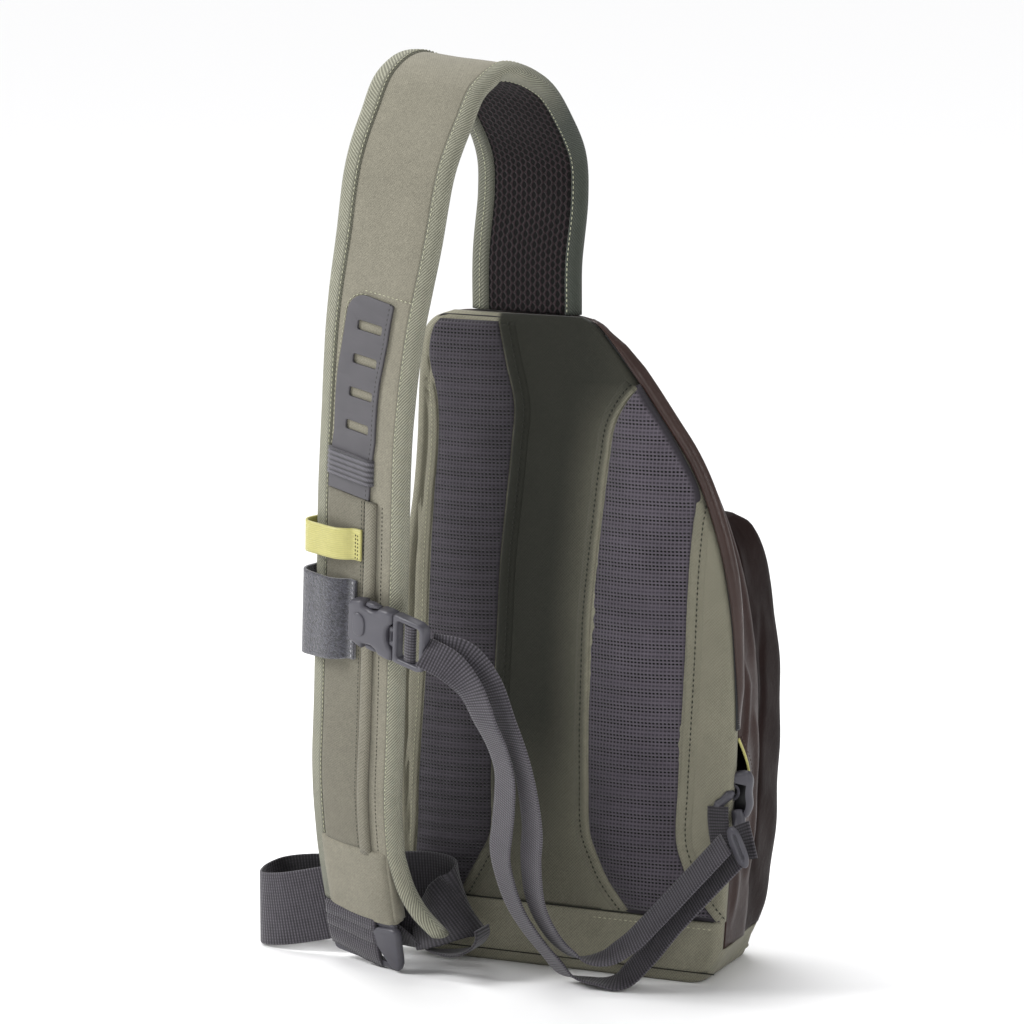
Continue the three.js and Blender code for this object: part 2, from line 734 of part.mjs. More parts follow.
// Narrow webbing from the strap's buckle, down to the floor and up to the slider at the right side.
// across and out are shares of the way between the ends, up is a share of the nearer end's height
const nearRows = [
  { across: 0, out: 0, up: 1, lean: -90, end: 0 },
  { across: 0.1, out: 0.02, up: 0.965, lean: -60, end: 0 },
  { across: 0.175, out: 0.06, up: 0.9, lean: -24, end: 0 },
  { across: 0.215, out: 0.12, up: 0.805, lean: -10, end: 0 },
  { across: 0.235, out: 0.2, up: 0.73, lean: -4, end: 0 },
  { across: 0.24, out: 0.27, up: 0.65, lean: 0, end: 0 },
  { across: 0.215, out: 0.34, up: 0.565, lean: 0, end: 0 },
  { across: 0.175, out: 0.42, up: 0.475, lean: 0, end: 0 },
  { across: 0.14, out: 0.49, up: 0.395, lean: 0, end: 0 },
  { across: 0.135, out: 0.56, up: 0.315, lean: 0, end: 0 },
  { across: 0.155, out: 0.635, up: 0.222, lean: 0, end: 0 },
  { across: 0.2, out: 0.71, up: 0.14, lean: 0, end: 0 },
  { across: 0.25, out: 0.78, up: 0.075, lean: 0, end: 0 },
  { across: 0.31, out: 0.82, up: 0.022, lean: 0, end: 0 },
  { across: 0.4, out: 0.86, up: 0.005, lean: 0, end: 0 },
  { across: 0.52, out: 0.88, up: 0.03, lean: 0, end: 1 },
  { across: 0.62, out: 0.9, up: 0.2, lean: 0, end: 1 },
  { across: 0.73, out: 0.925, up: 0.45, lean: 0, end: 1 },
  { across: 0.87, out: 0.965, up: 0.74, lean: 0, end: 1 },
  { across: 1, out: 1, up: 1, lean: 0, end: 1 },
];
const farRows = [
  { across: 0, out: 0, up: 1, lean: -90, end: 0 },
  { across: 0.12, out: 0.045, up: 0.985, lean: -60, end: 0 },
  { across: 0.215, out: 0.095, up: 0.92, lean: -26, end: 0 },
  { across: 0.275, out: 0.145, up: 0.815, lean: -10, end: 0 },
  { across: 0.31, out: 0.2, up: 0.73, lean: -4, end: 0 },
  { across: 0.325, out: 0.27, up: 0.645, lean: 0, end: 0 },
  { across: 0.325, out: 0.34, up: 0.56, lean: 0, end: 0 },
  { across: 0.31, out: 0.42, up: 0.475, lean: 0, end: 0 },
  { across: 0.28, out: 0.49, up: 0.4, lean: 0, end: 0 },
  { across: 0.26, out: 0.56, up: 0.33, lean: 0, end: 0 },
  { across: 0.25, out: 0.635, up: 0.255, lean: 0, end: 0 },
  { across: 0.27, out: 0.71, up: 0.18, lean: 0, end: 0 },
  { across: 0.32, out: 0.78, up: 0.115, lean: 0, end: 0 },
  { across: 0.4, out: 0.82, up: 0.08, lean: 0, end: 0 },
  { across: 0.5, out: 0.85, up: 0.2, lean: 0, end: 1 },
  { across: 0.6, out: 0.88, up: 0.3, lean: 0, end: 1 },
  { across: 0.71, out: 0.915, up: 0.48, lean: 0, end: 1 },
  { across: 0.855, out: 0.96, up: 0.74, lean: 0, end: 1 },
  { across: 1, out: 1, up: 1, lean: 0, end: 1 },
];

// Wide webbing from the pack's left side, round a loop at the left, behind the strap, round a
// loop at the right and into the plate at the strap's end. across in shares of halfWidth,
// out in shares of backSet in front of the origin, up in shares of wideWidth
const wideRows = [
  { across: -0.976, out: 0.1, up: 0.72, lean: 0 },
  { across: -0.986, out: 0.5, up: 0.72, lean: 0 },
  { across: -1.1, out: 0.72, up: 0.72, lean: 0 },
  { across: -1.3, out: 0.78, up: 0.7, lean: 0 },
  { across: -1.55, out: 0.78, up: 0.66, lean: 0 },
  { across: -1.7, out: 0.9, up: 0.6, lean: 0 },
  { across: -1.76, out: 1.2, up: 0.54, lean: 0 },
  { across: -1.72, out: 1.5, up: 0.53, lean: 0 },
  { across: -1.6, out: 1.6, up: 0.57, lean: 0 },
  { across: -1.4, out: 1.54, up: 0.69, lean: 0 },
  { across: -1.15, out: 1.42, up: 0.84, lean: 0 },
  { across: -0.92, out: 1.33, up: 0.98, lean: 0 },
  { across: -0.72, out: 1.3, up: 1.02, lean: 4 },
  { across: -0.56, out: 1.36, up: 1, lean: 16 },
  { across: -0.5, out: 1.56, up: 0.94, lean: 24 },
  { across: -0.55, out: 1.74, up: 0.82, lean: 32 },
  { across: -0.64, out: 1.86, up: 0.64, lean: 42 },
  { across: -0.745, out: 1.92, up: 0.5, lean: 48 },
];

function ribbon(places, leans, width, thick, steps, fixed) {
  const last = places.length - 1;
  const leanAt = columnOf(leans.map((value, i) => ({ t: i / last, value })), 't', 'value');
  const frameAt = framesAlong(places, (t, along) => fixed(t, along, leanAt(t) * degree));
  const frames = range(steps + 1).map((i) => frameAt(i / steps));
  return sweep(frames, barSection(-width / 2, width / 2, -thick / 2, thick / 2));
}

// Width level at no lean, at a plan angle, and upright at -90 degrees
const narrowPlan = 60;
function narrowRibbon(rows, start, finish) {
  const places = rows.map((row) => new THREE.Vector3(
    mix(start.x, finish.x, row.across),
    mix(start.y, finish.y, row.out),
    mix(lyingHeight, row.end ? finish.z : start.z, row.up),
  ));
  const straight = new THREE.Vector3(Math.sin(narrowPlan * degree), -Math.cos(narrowPlan * degree), 0);
  return ribbon(places, rows.map((row) => row.lean), narrowWidth, webbingThick, 44, (t, along, lean) => {
    const side = new THREE.Vector3().crossVectors(along, straight).normalize();
    return straight.clone().multiplyScalar(Math.cos(lean)).addScaledVector(side, Math.sin(lean));
  });
}

function wideRibbon() {
  const places = wideRows.map((row) => new THREE.Vector3(
    row.across * halfWidth, -row.out * backSet, row.up * wideWidth));
  const upright = new THREE.Vector3(0, 0, 1);
  return ribbon(places, wideRows.map((row) => row.lean), wideWidth, webbingThick, 48, (t, along, lean) => {
    const side = new THREE.Vector3().crossVectors(along, upright).normalize();
    return upright.clone().multiplyScalar(Math.cos(lean)).addScaledVector(side, Math.sin(lean));
  });
}

// Slider plate with two slots for narrow webbing
function glidePlate(width, length, thick) {
  const [w, l] = [width / 2, length / 2];
  const slot = (y) => box(-w + glideRim, w - glideRim, y - glideSlot / 2, y + glideSlot / 2);
  return plateOf(pad4(-w, w, -l, l, glideRim), [slot(-l * 0.45), slot(l * 0.45)], thick, thick / 5);
}

// Frame of a loose piece from its place and two of its ways
function frameOf(place, across, along) {
  const side = across.clone().normalize();
  const run = along.clone().addScaledVector(side, -along.dot(side)).normalize();
  return { place, across: side, along: run, out: new THREE.Vector3().crossVectors(run, side) };
}

const looks = {
  olive: { color: 0x62664f, roughness: 0.9 },
  khaki: { color: 0x96937d, roughness: 0.9 },
  sage: { color: 0x9ba084, roughness: 0.85 },
  mesh: { color: 0x5a545e, roughness: 0.9 },
  lining: { color: 0x3c3232, roughness: 0.95 },
  coated: { color: 0x3c302e, roughness: 0.45 },
  slate: { color: 0x64626c, roughness: 0.7 },
  pile: { color: 0x5f5f69, roughness: 1 },
  lime: { color: 0xc8c85a, roughness: 0.85 },
  webbing: { color: 0x504b55, roughness: 0.85 },
  plastic: { color: 0x55535a, roughness: 0.5 },
  dark: { color: 0x1c1a1c, roughness: 0.7 },
};

const bag = new THREE.Group();

function piece(name, geometry, look) {
  const mesh = new THREE.Mesh(geometry, new THREE.MeshStandardMaterial({ metalness: 0, ...looks[look] }));
  mesh.name = name;
  bag.add(mesh);
}

piece('back_panel', boardOf(panelRows, panelThick, 1), 'olive');
piece('mesh_pad_left', pillowOf(leftPadRows), 'mesh');
piece('mesh_pad_right', pillowOf(rightPadRows), 'mesh');
piece('base_tray', baseTray(), 'olive');
piece('main_shell', mainShell, 'coated');
piece('front_pocket', frontPocket(), 'coated');
piece('opening_trim', openingTrim(), 'lime');

const rollStart = 1 - rollDrop / packHeight;
const rollEnd = (openingMiddle + openingHalf + rollPast) / packHeight;
piece('main_zip', edgeStrip({
  from: rollStart,
  to: rollEnd,
  low: clearance,
  high: clearance + zipThick,
  rear: panelInnerY - zipWidth,
  front: panelInnerY,
  steps: 16,
}), 'dark');
piece('shell_roll', edgeStrip({
  from: rollStart,
  to: rollEnd,
  low: zipThick + 2 * clearance,
  high: zipThick + 2 * clearance + rollWidth,
  rear: panelInnerY - 0.7 * rollDepth,
  front: panelInnerY + 0.3 * rollDepth,
  steps: 20,
}), 'coated');

piece('strap_pad', sweep(strapAll, foamSection), 'khaki');
piece('strap_lining', sweep(strapAll, liningSection), 'lining');
piece('strap_binding_left', strapBinding(-1, 0), 'sage');
piece('strap_binding_right', strapBinding(1, 1), 'sage');
piece('strap_pocket', strapPatch({
  from: hemLength, to: pocketTop, left: -padHalf, right: pocketRight, thick: strapPocketThick,
}), 'khaki');
piece('pocket_fold', strapPatch({
  from: hemLength, to: pocketTop, left: foldMiddle - foldWidth / 2, right: foldMiddle + foldWidth / 2,
  thick: foldThick,
}), 'khaki');
piece('tool_dock', toolDock(), 'slate');
piece('dock_elastic', strapPatch({
  from: dockStart + elasticRise,
  to: dockStart + elasticRise + elasticHeight,
  left: dockRight - elasticWidth + elasticPast,
  right: dockRight + elasticPast,
  low: dockThick + 2 * clearance,
  thick: elasticThick,
}), 'slate');
piece('loop_tab', standingLoop({
  from: tabFrom, to: tabFrom + tabHeight, right: padHalf * 0.08, standOff: tabStandOff, thick: tabThick,
}), 'lime');
piece('pile_patch', standingLoop({
  from: patchFrom, to: patchFrom + patchHeight, right: padHalf * 0.05, standOff: patchStandOff,
  thick: patchThick, slant: -patchHeight * 0.2,
}), 'pile');

const buckleFrame = strapFrame(buckleAlong);
piece('strap_buckle_female', placeOn(buckleFemale(), buckleFrame, buckleSide, 0, buckleLift), 'plastic');
piece('strap_buckle_male', placeOn(buckleMale(), buckleFrame, buckleSide, 0, buckleLift), 'plastic');

// Pieces at the side opening: a place is out from the side, behind the back panel's face, and up
const sideAt = (x, y, z) => new THREE.Vector3(halfWidth + x, backY + y, z);
const sideThick = openingDepth * 0.55;
const outward = new THREE.Vector3(1, 0, -0.12);
const downward = new THREE.Vector3(0, 0, -1);
const sideY = panelThick + 2 * clearance + sideThick / 2;
const sideFrame = frameOf(sideAt(sideOut, sideY, openingMiddle - sideDrop), outward, downward);
const [sideX, sideZ] = [sideLength / 2, sideHeight / 2];
const sidePlate = plateOf(
  pad4(-sideX, sideX, -sideZ, sideZ, buckleBar),
  [box(sideX - 2 * buckleBar, sideX - buckleBar, buckleBar - sideZ, sideZ - buckleBar)],
  sideThick, buckleBevel);
piece('side_buckle', placeOn(sidePlate, sideFrame, 0, 0, 0), 'plastic');

const bagEnd = buckleSide + buckleLength + 2 * clearance;
const narrowStart = (height) => at(buckleFrame, bagEnd, buckleLift + height);
const glidePlace = sideAt(glideOut, -glideStand, openingMiddle - glideDrop);
const glideAcross = new THREE.Vector3(0.55, -0.76, -0.33);
const glideAlong = new THREE.Vector3(0.6, 0.1, 0.78);
const glideFrame = frameOf(glidePlace, glideAcross, glideAlong);
const glideGap = glideThick / 2 + 2 * clearance;
const narrowFinish = (height) => at(glideFrame, 0, height).addScaledVector(glideFrame.along, -glideGap);
const nearRibbon = narrowRibbon(nearRows, narrowStart(webbingApart), narrowFinish(narrowGap));
const farRibbon = narrowRibbon(farRows, narrowStart(-webbingApart), narrowFinish(-narrowGap));
piece('narrow_webbing_near', nearRibbon, 'webbing');
piece('narrow_webbing_far', farRibbon, 'webbing');

// The slider lies across the webbing that comes to it
const sliderFrame = frameOf(glidePlace, glideFrame.across, glideFrame.out);
const glideShape = glidePlate(narrowWidth + 2 * glideRim, 3 * narrowGap, glideThick);
piece('side_glide', placeOn(glideShape, sliderFrame, 0, 0, 0), 'plastic');
piece('waist_webbing', wideRibbon(), 'webbing');

const endThick = 3 * webbingThick + 2 * clearance;
const endSides = [-wideWidth / 2 - endShift, wideWidth / 2 - endShift];
piece('strap_end_webbing', sweep([strapFrame(-clearance), strapFrame(-hemLength * 0.28)],
  barSection(...endSides, -endThick / 2, endThick / 2)), 'webbing');

function ladderLock() {
  const w = wideWidth / 2 + lockRim;
  const slot = (y) => box(-w + lockRim, w - lockRim, y - lockSlot / 2, y + lockSlot / 2);
  const inset = lockEdge + lockSlot / 2;
  const slots = [slot(-inset), slot(-lockLength / 2), slot(inset - lockLength)];
  return plateOf(pad4(-w, w, -lockLength, 0, lockThick), slots, lockThick, buckleBevel);
}
const lockLift = endThick / 2 + clearance + lockThick / 2;
const lockShape = ladderLock();
const lockShift = endShift / 2 - lockRim;
piece('ladder_lock', placeOn(lockShape, strapFrame(0), lockShift, -4 * clearance, lockLift), 'plastic');

export default bag;
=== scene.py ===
"""Sling bag with one wide shoulder strap, standing on its base: its cloth, foam, webbing and stitches."""
import math

import bmesh
import bpy
import numpy as np
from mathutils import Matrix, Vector


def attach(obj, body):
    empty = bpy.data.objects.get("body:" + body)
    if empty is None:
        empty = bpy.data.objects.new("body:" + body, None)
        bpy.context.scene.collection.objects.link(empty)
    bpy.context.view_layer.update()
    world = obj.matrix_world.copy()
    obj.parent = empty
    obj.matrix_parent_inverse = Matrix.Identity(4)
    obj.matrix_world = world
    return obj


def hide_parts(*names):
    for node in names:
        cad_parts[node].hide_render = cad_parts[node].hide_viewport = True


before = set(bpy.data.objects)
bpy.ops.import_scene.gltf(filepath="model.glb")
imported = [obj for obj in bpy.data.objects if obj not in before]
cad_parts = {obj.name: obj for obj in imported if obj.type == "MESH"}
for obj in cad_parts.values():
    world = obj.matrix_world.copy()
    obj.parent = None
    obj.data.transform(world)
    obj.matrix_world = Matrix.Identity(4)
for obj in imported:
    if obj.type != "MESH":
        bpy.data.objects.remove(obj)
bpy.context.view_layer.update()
MM = 0.001

# ---- Camera

AIM = (-50.8, -22.6, 302.8)
EYE = (1231.0, -2901.5, 858.4)
LENS = 168.75

lens = bpy.data.cameras.new("camera")
lens.lens = LENS
lens.sensor_width = 36
lens.clip_end = 50
camera = bpy.data.objects.new("camera", lens)
camera.location = Vector(EYE) * MM
camera.rotation_euler = (Vector(AIM) - Vector(EYE)).to_track_quat("-Z", "Y").to_euler()
bpy.context.scene.collection.objects.link(camera)
bpy.context.scene.camera = camera

# ---- Sizes, in millimetres

PACK_HEIGHT = 440
HALF_WIDTH = 120
BACK = -50
PACK_DEPTH = 112
PANEL_THICK = 6
BASE_HEIGHT = 25
BAND_HEIGHT = 44
SHELL_REAR = -43.7
SHELL_WALL = 2.4
PAD_SEAT = -50.3
OPENING_MIDDLE = 134
OPENING_HALF = 36
OPENING_DEPTH = 11

LOOP_RISE = 167
STRAP_REACH = 150
STRAP_HALF = 39
STRAP_FACE = 6
TAPE_EDGE = 29.3
COVER_HALF = 29.7
HEM = 50
POCKET_TOP = 308
POCKET_RIGHT = 9.0
FOLD_MIDDLE = 13.6
FOLD_HALF = 4
DOCK_START = 308.6
DOCK_LENGTH = 130
DOCK_RIGHT = 11.6
DOCK_TOP_RIGHT = 18.2
DOCK_WIDTH = 36
SLOT_LENGTH = 20
SLOT_HEIGHT = 6.2
SLOT_PITCH = 22
NARROW = 25
WIDE = 50
WEBBING = 1.6

# Outline of the pack: heights in shares of PACK_HEIGHT, sides of HALF_WIDTH, the rest of PACK_DEPTH
BODY = np.array([
    (0.057, -0.942, 0.933, 0.571, 0.21), (0.127, -0.962, 0.95, 0.589, 0.22),
    (0.239, -0.975, 0.975, 0.598, 0.22), (0.325, -0.983, 0.995, 0.589, 0.22),
    (0.402, -0.983, 1.002, 0.571, 0.22), (0.498, -0.975, 0.988, 0.536, 0.21),
    (0.566, -0.97, 0.968, 0.491, 0.2), (0.62, -0.96, 0.938, 0.446, 0.19),
    (0.67, -0.938, 0.898, 0.406, 0.18), (0.718, -0.913, 0.842, 0.366, 0.17),
    (0.764, -0.896, 0.773, 0.339, 0.16), (0.805, -0.885, 0.692, 0.317, 0.15),
    (0.843, -0.879, 0.596, 0.295, 0.14), (0.889, -0.872, 0.475, 0.268, 0.12),
    (0.93, -0.863, 0.358, 0.246, 0.11), (0.968, -0.84, 0.245, 0.223, 0.1),
    (0.99, -0.77, 0.165, 0.2, 0.09), (1, -0.67, 0.085, 0.17, 0.07)])
POCKET = np.array([
    (0.058, -0.79, 0.905, 0.9, 0.22), (0.09, -0.815, 0.93, 0.945, 0.235),
    (0.139, -0.835, 0.95, 0.965, 0.24), (0.22, -0.85, 0.971, 0.982, 0.24),
    (0.32, -0.858, 0.988, 1, 0.235), (0.4, -0.855, 0.99, 1, 0.23),
    (0.498, -0.842, 0.967, 0.97, 0.22), (0.585, -0.82, 0.93, 0.93, 0.2),
    (0.643, -0.785, 0.895, 0.9, 0.18), (0.675, -0.74, 0.84, 0.84, 0.16),
    (0.692, -0.68, 0.77, 0.72, 0.13)])
TRAY = np.array([
    (0, -0.85, 0.785, 0.84, 0.05, 0.18), (0.09, -0.875, 0.815, 0.86, 0.022, 0.19),
    (0.36, -0.912, 0.86, 0.885, 0.004, 0.2), (0.66, -0.933, 0.9, 0.9, 0, 0.21),
    (1, -0.942, 0.933, 0.905, 0, 0.21)])
LEFT_PAD = np.array([
    (0.1015, -0.93, -0.62), (0.165, -0.925, -0.49), (0.207, -0.915, -0.416), (0.295, -0.904, -0.411),
    (0.402, -0.875, -0.398), (0.5, -0.85, -0.38), (0.62, -0.832, -0.358), (0.725, -0.807, -0.315),
    (0.8, -0.782, -0.287), (0.866, -0.785, -0.27), (0.93, -0.835, -0.32), (0.975, -0.81, -0.355),
    (0.996, -0.74, -0.37)])
RIGHT_PAD = np.array([
    (0.1015, 0.38, 0.935), (0.148, 0.248, 0.81), (0.182, 0.185, 0.745), (0.223, 0.132, 0.7),
    (0.3, 0.124, 0.71), (0.38, 0.122, 0.725), (0.48, 0.132, 0.742), (0.55, 0.142, 0.752),
    (0.632, 0.17, 0.766), (0.69, 0.195, 0.784), (0.735, 0.215, 0.8), (0.758, 0.225, 0.785), (0.793, 0.243, 0.72),
    (0.843, 0.275, 0.605), (0.88, 0.345, 0.508), (0.906, 0.425, 0.445)])

# Middle line of the strap from its root: across, out, up, turn and roll in degrees
STRAP = np.array([
    (-0.275, 0, 1.005, 0, 0), (-0.271, 0.004, 1.217, 0, 0), (-0.233, 0.013, 1.47, 0, 0),
    (-0.225, 0.045, 1.625, 0, 0), (-0.233, 0.187, 1.79, 0, -2), (-0.266, 0.353, 1.928, 0, -4),
    (-0.373, 0.567, 2, 0, -6), (-0.423, 0.733, 1.946, 1, -6), (-0.441, 0.847, 1.825, 2, -5),
    (-0.466, 0.967, 1.65, 4, -3), (-0.516, 1, 1.373, 8, 0), (-0.596, 1, 1.06, 14, 0),
    (-0.666, 0.967, 0.882, 19, 0), (-0.716, 0.92, 0.77, 19, 0), (-0.766, 0.853, 0.668, 19, 0),
    (-0.833, 0.767, 0.539, 19, 0), (-0.908, 0.667, 0.411, 19, 0), (-0.983, 0.567, 0.295, 19, 0),
    (-1.008, 0.487, 0.195, 19, 0), (-1.016, 0.393, 0.095, 19, 0)])

# Narrow webbing: across and out in shares of the way between its ends, up, lean, and which end up follows
NEAR = np.array([
    (0, 0, 1, -90, 0), (0.1, 0.02, 0.965, -60, 0), (0.175, 0.06, 0.9, -24, 0),
    (0.215, 0.12, 0.805, -10, 0), (0.235, 0.2, 0.73, -4, 0), (0.24, 0.27, 0.65, 0, 0),
    (0.215, 0.34, 0.565, 0, 0), (0.175, 0.42, 0.475, 0, 0), (0.14, 0.49, 0.395, 0, 0),
    (0.135, 0.56, 0.315, 0, 0), (0.155, 0.635, 0.222, 0, 0), (0.2, 0.71, 0.14, 0, 0),
    (0.25, 0.78, 0.075, 0, 0), (0.31, 0.82, 0.022, 0, 0), (0.4, 0.86, 0.005, 0, 0),
    (0.52, 0.88, 0.03, 0, 1), (0.62, 0.9, 0.2, 0, 1), (0.73, 0.925, 0.45, 0, 1),
    (0.87, 0.965, 0.74, 0, 1), (1, 1, 1, 0, 1)])
FAR = np.array([
    (0, 0, 1, -90, 0), (0.12, 0.045, 0.985, -60, 0), (0.215, 0.095, 0.92, -26, 0),
    (0.275, 0.145, 0.815, -10, 0), (0.31, 0.2, 0.73, -4, 0), (0.325, 0.27, 0.645, 0, 0),
    (0.325, 0.34, 0.56, 0, 0), (0.31, 0.42, 0.475, 0, 0), (0.28, 0.49, 0.4, 0, 0),
    (0.26, 0.56, 0.33, 0, 0), (0.25, 0.635, 0.255, 0, 0), (0.27, 0.71, 0.18, 0, 0),
    (0.32, 0.78, 0.115, 0, 0), (0.4, 0.82, 0.08, 0, 0), (0.5, 0.85, 0.2, 0, 1),
    (0.6, 0.88, 0.3, 0, 1), (0.71, 0.915, 0.48, 0, 1), (0.855, 0.96, 0.74, 0, 1),
    (1, 1, 1, 0, 1)])
WAIST = np.array([
    (-0.976, 0.1, 0.72, 0), (-0.986, 0.5, 0.72, 0), (-1.1, 0.72, 0.72, 0), (-1.3, 0.78, 0.7, 0),
    (-1.6, 0.78, 0.66, 0), (-1.76, 0.9, 0.6, 0), (-1.82, 1.2, 0.54, 0), (-1.78, 1.5, 0.53, 0),
    (-1.64, 1.6, 0.57, 0), (-1.4, 1.54, 0.69, 0), (-1.15, 1.42, 0.84, 0), (-0.92, 1.33, 0.98, 0),
    (-0.72, 1.3, 1.02, 4), (-0.56, 1.36, 1, 16), (-0.5, 1.56, 0.94, 24), (-0.55, 1.74, 0.82, 32),
    (-0.64, 1.86, 0.64, 42), (-0.745, 1.92, 0.5, 48)])


# ---- Curves and frames

def column(table, name, x):
    """Smooth values between a table's rows, by its first column."""
    xs, ys = table[:, 0], table[:, name]
    last = len(xs) - 1
    lo = np.maximum(np.arange(last + 1) - 1, 0)
    hi = np.minimum(np.arange(last + 1) + 1, last)
    slopes = (ys[hi] - ys[lo]) / (xs[hi] - xs[lo])
    x = np.asarray(x, float)
    i = np.clip(np.searchsorted(xs, x, side="left") - 1, 0, last - 1)
    span = xs[i + 1] - xs[i]
    t = np.clip((x - xs[i]) / span, 0, 1)
    rise = t * t * (3 - 2 * t)
    bend = t * (1 - t) ** 2 * slopes[i] - t * t * (1 - t) * slopes[i + 1]
    return ys[i] * (1 - rise) + ys[i + 1] * rise + bend * span


def path_at(places, t):
    """Points of a centripetal Catmull-Rom curve through places, at shares t of its spans."""
    places = np.asarray(places, float)
    line = np.vstack([2 * places[0] - places[1], places, 2 * places[-1] - places[-2]])
    along = np.clip(t, 0, 1) * (len(places) - 1)
    i = np.minimum(along.astype(int), len(places) - 2)
    w = (along - i)[:, None]
    p = [line[i + k] for k in range(4)]
    d = [np.sum((p[k + 1] - p[k]) ** 2, axis=1)[:, None] ** 0.25 for k in range(3)]
    a = ((p[1] - p[0]) / d[0] - (p[2] - p[0]) / (d[0] + d[1]) + (p[2] - p[1]) / d[1]) * d[1]
    b = ((p[2] - p[1]) / d[1] - (p[3] - p[1]) / (d[1] + d[2]) + (p[3] - p[2]) / d[2]) * d[1]
    c2 = -3 * p[1] + 3 * p[2] - 2 * a - b
    c3 = 2 * p[1] - 2 * p[2] + a + b
    return p[1] + a * w + c2 * w ** 2 + c3 * w ** 3


def unit(v):
    return v / np.linalg.norm(v, axis=-1, keepdims=True)


class Track:
    """Frames along a path: place, along, across and out, by the length from its start."""

    def __init__(self, places, across_at, backwards=False):
        t = np.linspace(0, 1, 1601)
        tick = 1e-4
        self.place = path_at(places, t)
        self.along = unit(path_at(places, t + tick) - path_at(places, t - tick))
        across = across_at(t, self.along)
        across = across - self.along * np.sum(across * self.along, axis=1, keepdims=True)
        self.across = unit(across)
        self.out = unit(np.cross(self.along, self.across))
        if backwards:
            for name in ("place", "along", "across", "out"):
                setattr(self, name, getattr(self, name)[::-1])
        steps = np.linalg.norm(np.diff(self.place, axis=0), axis=1)
        self.lengths = np.concatenate([[0], np.cumsum(steps)])
        self.length = self.lengths[-1]

    def point(self, along, side, height):
        """Points at lengths, sides and heights, arrays of one shape; past an end, straight on."""
        along, side, height = np.broadcast_arrays(along, side, height)
        flat = along.ravel().astype(float)
        kept = np.clip(flat, 0, self.length)

        def read(field):
            return np.stack([np.interp(kept, self.lengths, field[:, k]) for k in range(3)], axis=1)

        place, across, out = read(self.place), unit(read(self.across)), unit(read(self.out))
        first, final = self.place[1] - self.place[0], self.place[-1] - self.place[-2]
        ends = np.where((flat < 0)[:, None], unit(first), unit(final))
        place = place + ends * (flat - kept)[:, None]
        points = place + across * side.ravel()[:, None] + out * height.ravel()[:, None]
        return points.reshape(along.shape + (3,))


def radians(degrees):
    return degrees * math.pi / 180


def spread(values):
    """Table of a value at even steps, for column()."""
    return np.stack([np.linspace(0, 1, len(values)), values], axis=1)


strap_up = np.where(STRAP[:, 2] < 1, STRAP[:, 2] * PACK_HEIGHT, PACK_HEIGHT + (STRAP[:, 2] - 1) * LOOP_RISE)
root_y = BACK + PANEL_THICK + STRAP_FACE - 0.3
strap_places = np.stack([STRAP[:, 0] * HALF_WIDTH, root_y - STRAP[:, 1] * STRAP_REACH, strap_up], axis=1)


def strap_across(t, along):
    turn = radians(column(spread(STRAP[:, 3]), 1, t))
    roll = radians(column(spread(STRAP[:, 4]), 1, t))
    return np.stack([np.cos(turn), -np.sin(turn), np.tan(roll)], axis=1)


strap = Track(strap_places, strap_across, backwards=True)


# ---- Meshes

def make_piece(name, points, faces, material, uvs=None, slot=None, replaces=(), smooth=True):
    """A mesh piece from points in millimetres, with its cloth coordinates as a UV map."""
    mesh = bpy.data.meshes.new(name)
    mesh.from_pydata((np.asarray(points) * MM).tolist(), [], [list(face) for face in faces])
    if uvs is not None:
        layer = mesh.uv_layers.new(name="cloth")
        flat = np.array([corner for face in uvs for corner in face], np.float32) * MM
        layer.data.foreach_set("uv", flat.ravel())
    mesh.validate()
    piece = bpy.data.objects.new(name, mesh)
    bpy.context.scene.collection.objects.link(piece)
    finish_mesh(piece, material, replaces, smooth)
    return piece


def finish_mesh(piece, material, replaces=(), smooth=True):
    mesh = piece.data
    turned = bmesh.new()
    turned.from_mesh(mesh)
    bmesh.ops.recalc_face_normals(turned, faces=turned.faces)
    turned.to_mesh(mesh)
    turned.free()
    mesh.materials.clear()
    mesh.materials.append(material)
    if smooth:
        mesh.shade_smooth()
    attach(piece, "root")
    if replaces:
        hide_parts(*replaces)


def grid_faces(rows, columns, ring, base=0):
    """Quads of a grid, closed across its columns where ring is true."""
    spans = columns if ring else columns - 1
    k, i = np.meshgrid(np.arange(rows - 1), np.arange(spans), indexing="ij")
    j = (i + 1) % columns
    quads = np.stack([k * columns + i, k * columns + j, (k + 1) * columns + j, (k + 1) * columns + i], axis=-1)
    return (quads.reshape(-1, 4) + base).tolist()


def loft(name, rings, material, u=None, v=None, **made):
    """Closed body through rings, an array of (rings, points, 3), with fan caps."""
    rings = np.asarray(rings, float)
    rows, columns = rings.shape[:2]
    points = rings.reshape(-1, 3)
    faces = grid_faces(rows, columns, True)
    around = np.linalg.norm(np.diff(np.concatenate([rings, rings[:, :1]], axis=1), axis=1), axis=2)
    if u is None:
        u = np.concatenate([[0], np.cumsum(around[rows // 2])])
    u = np.asarray(u, float)
    if len(u) == columns:
        u = np.append(u, u[0])
    if v is None:
        middle = rings.mean(axis=1)
        v = np.concatenate([[0], np.cumsum(np.linalg.norm(np.diff(middle, axis=0), axis=1))])
    uvs = [((u[i], v[k]), (u[i + 1], v[k]), (u[i + 1], v[k + 1]), (u[i], v[k + 1]))
           for k in range(rows - 1) for i in range(columns)]
    points = np.vstack([points, rings[0].mean(axis=0), rings[-1].mean(axis=0)])
    for k, hub in ((0, rows * columns), (rows - 1, rows * columns + 1)):
        for i in range(columns):
            faces.append([hub, k * columns + i, k * columns + (i + 1) % columns])
            uvs.append(((u[i], v[k]), (u[i], v[k]), (u[i + 1], v[k])))
    return make_piece(name, points, faces, material, uvs, **made)


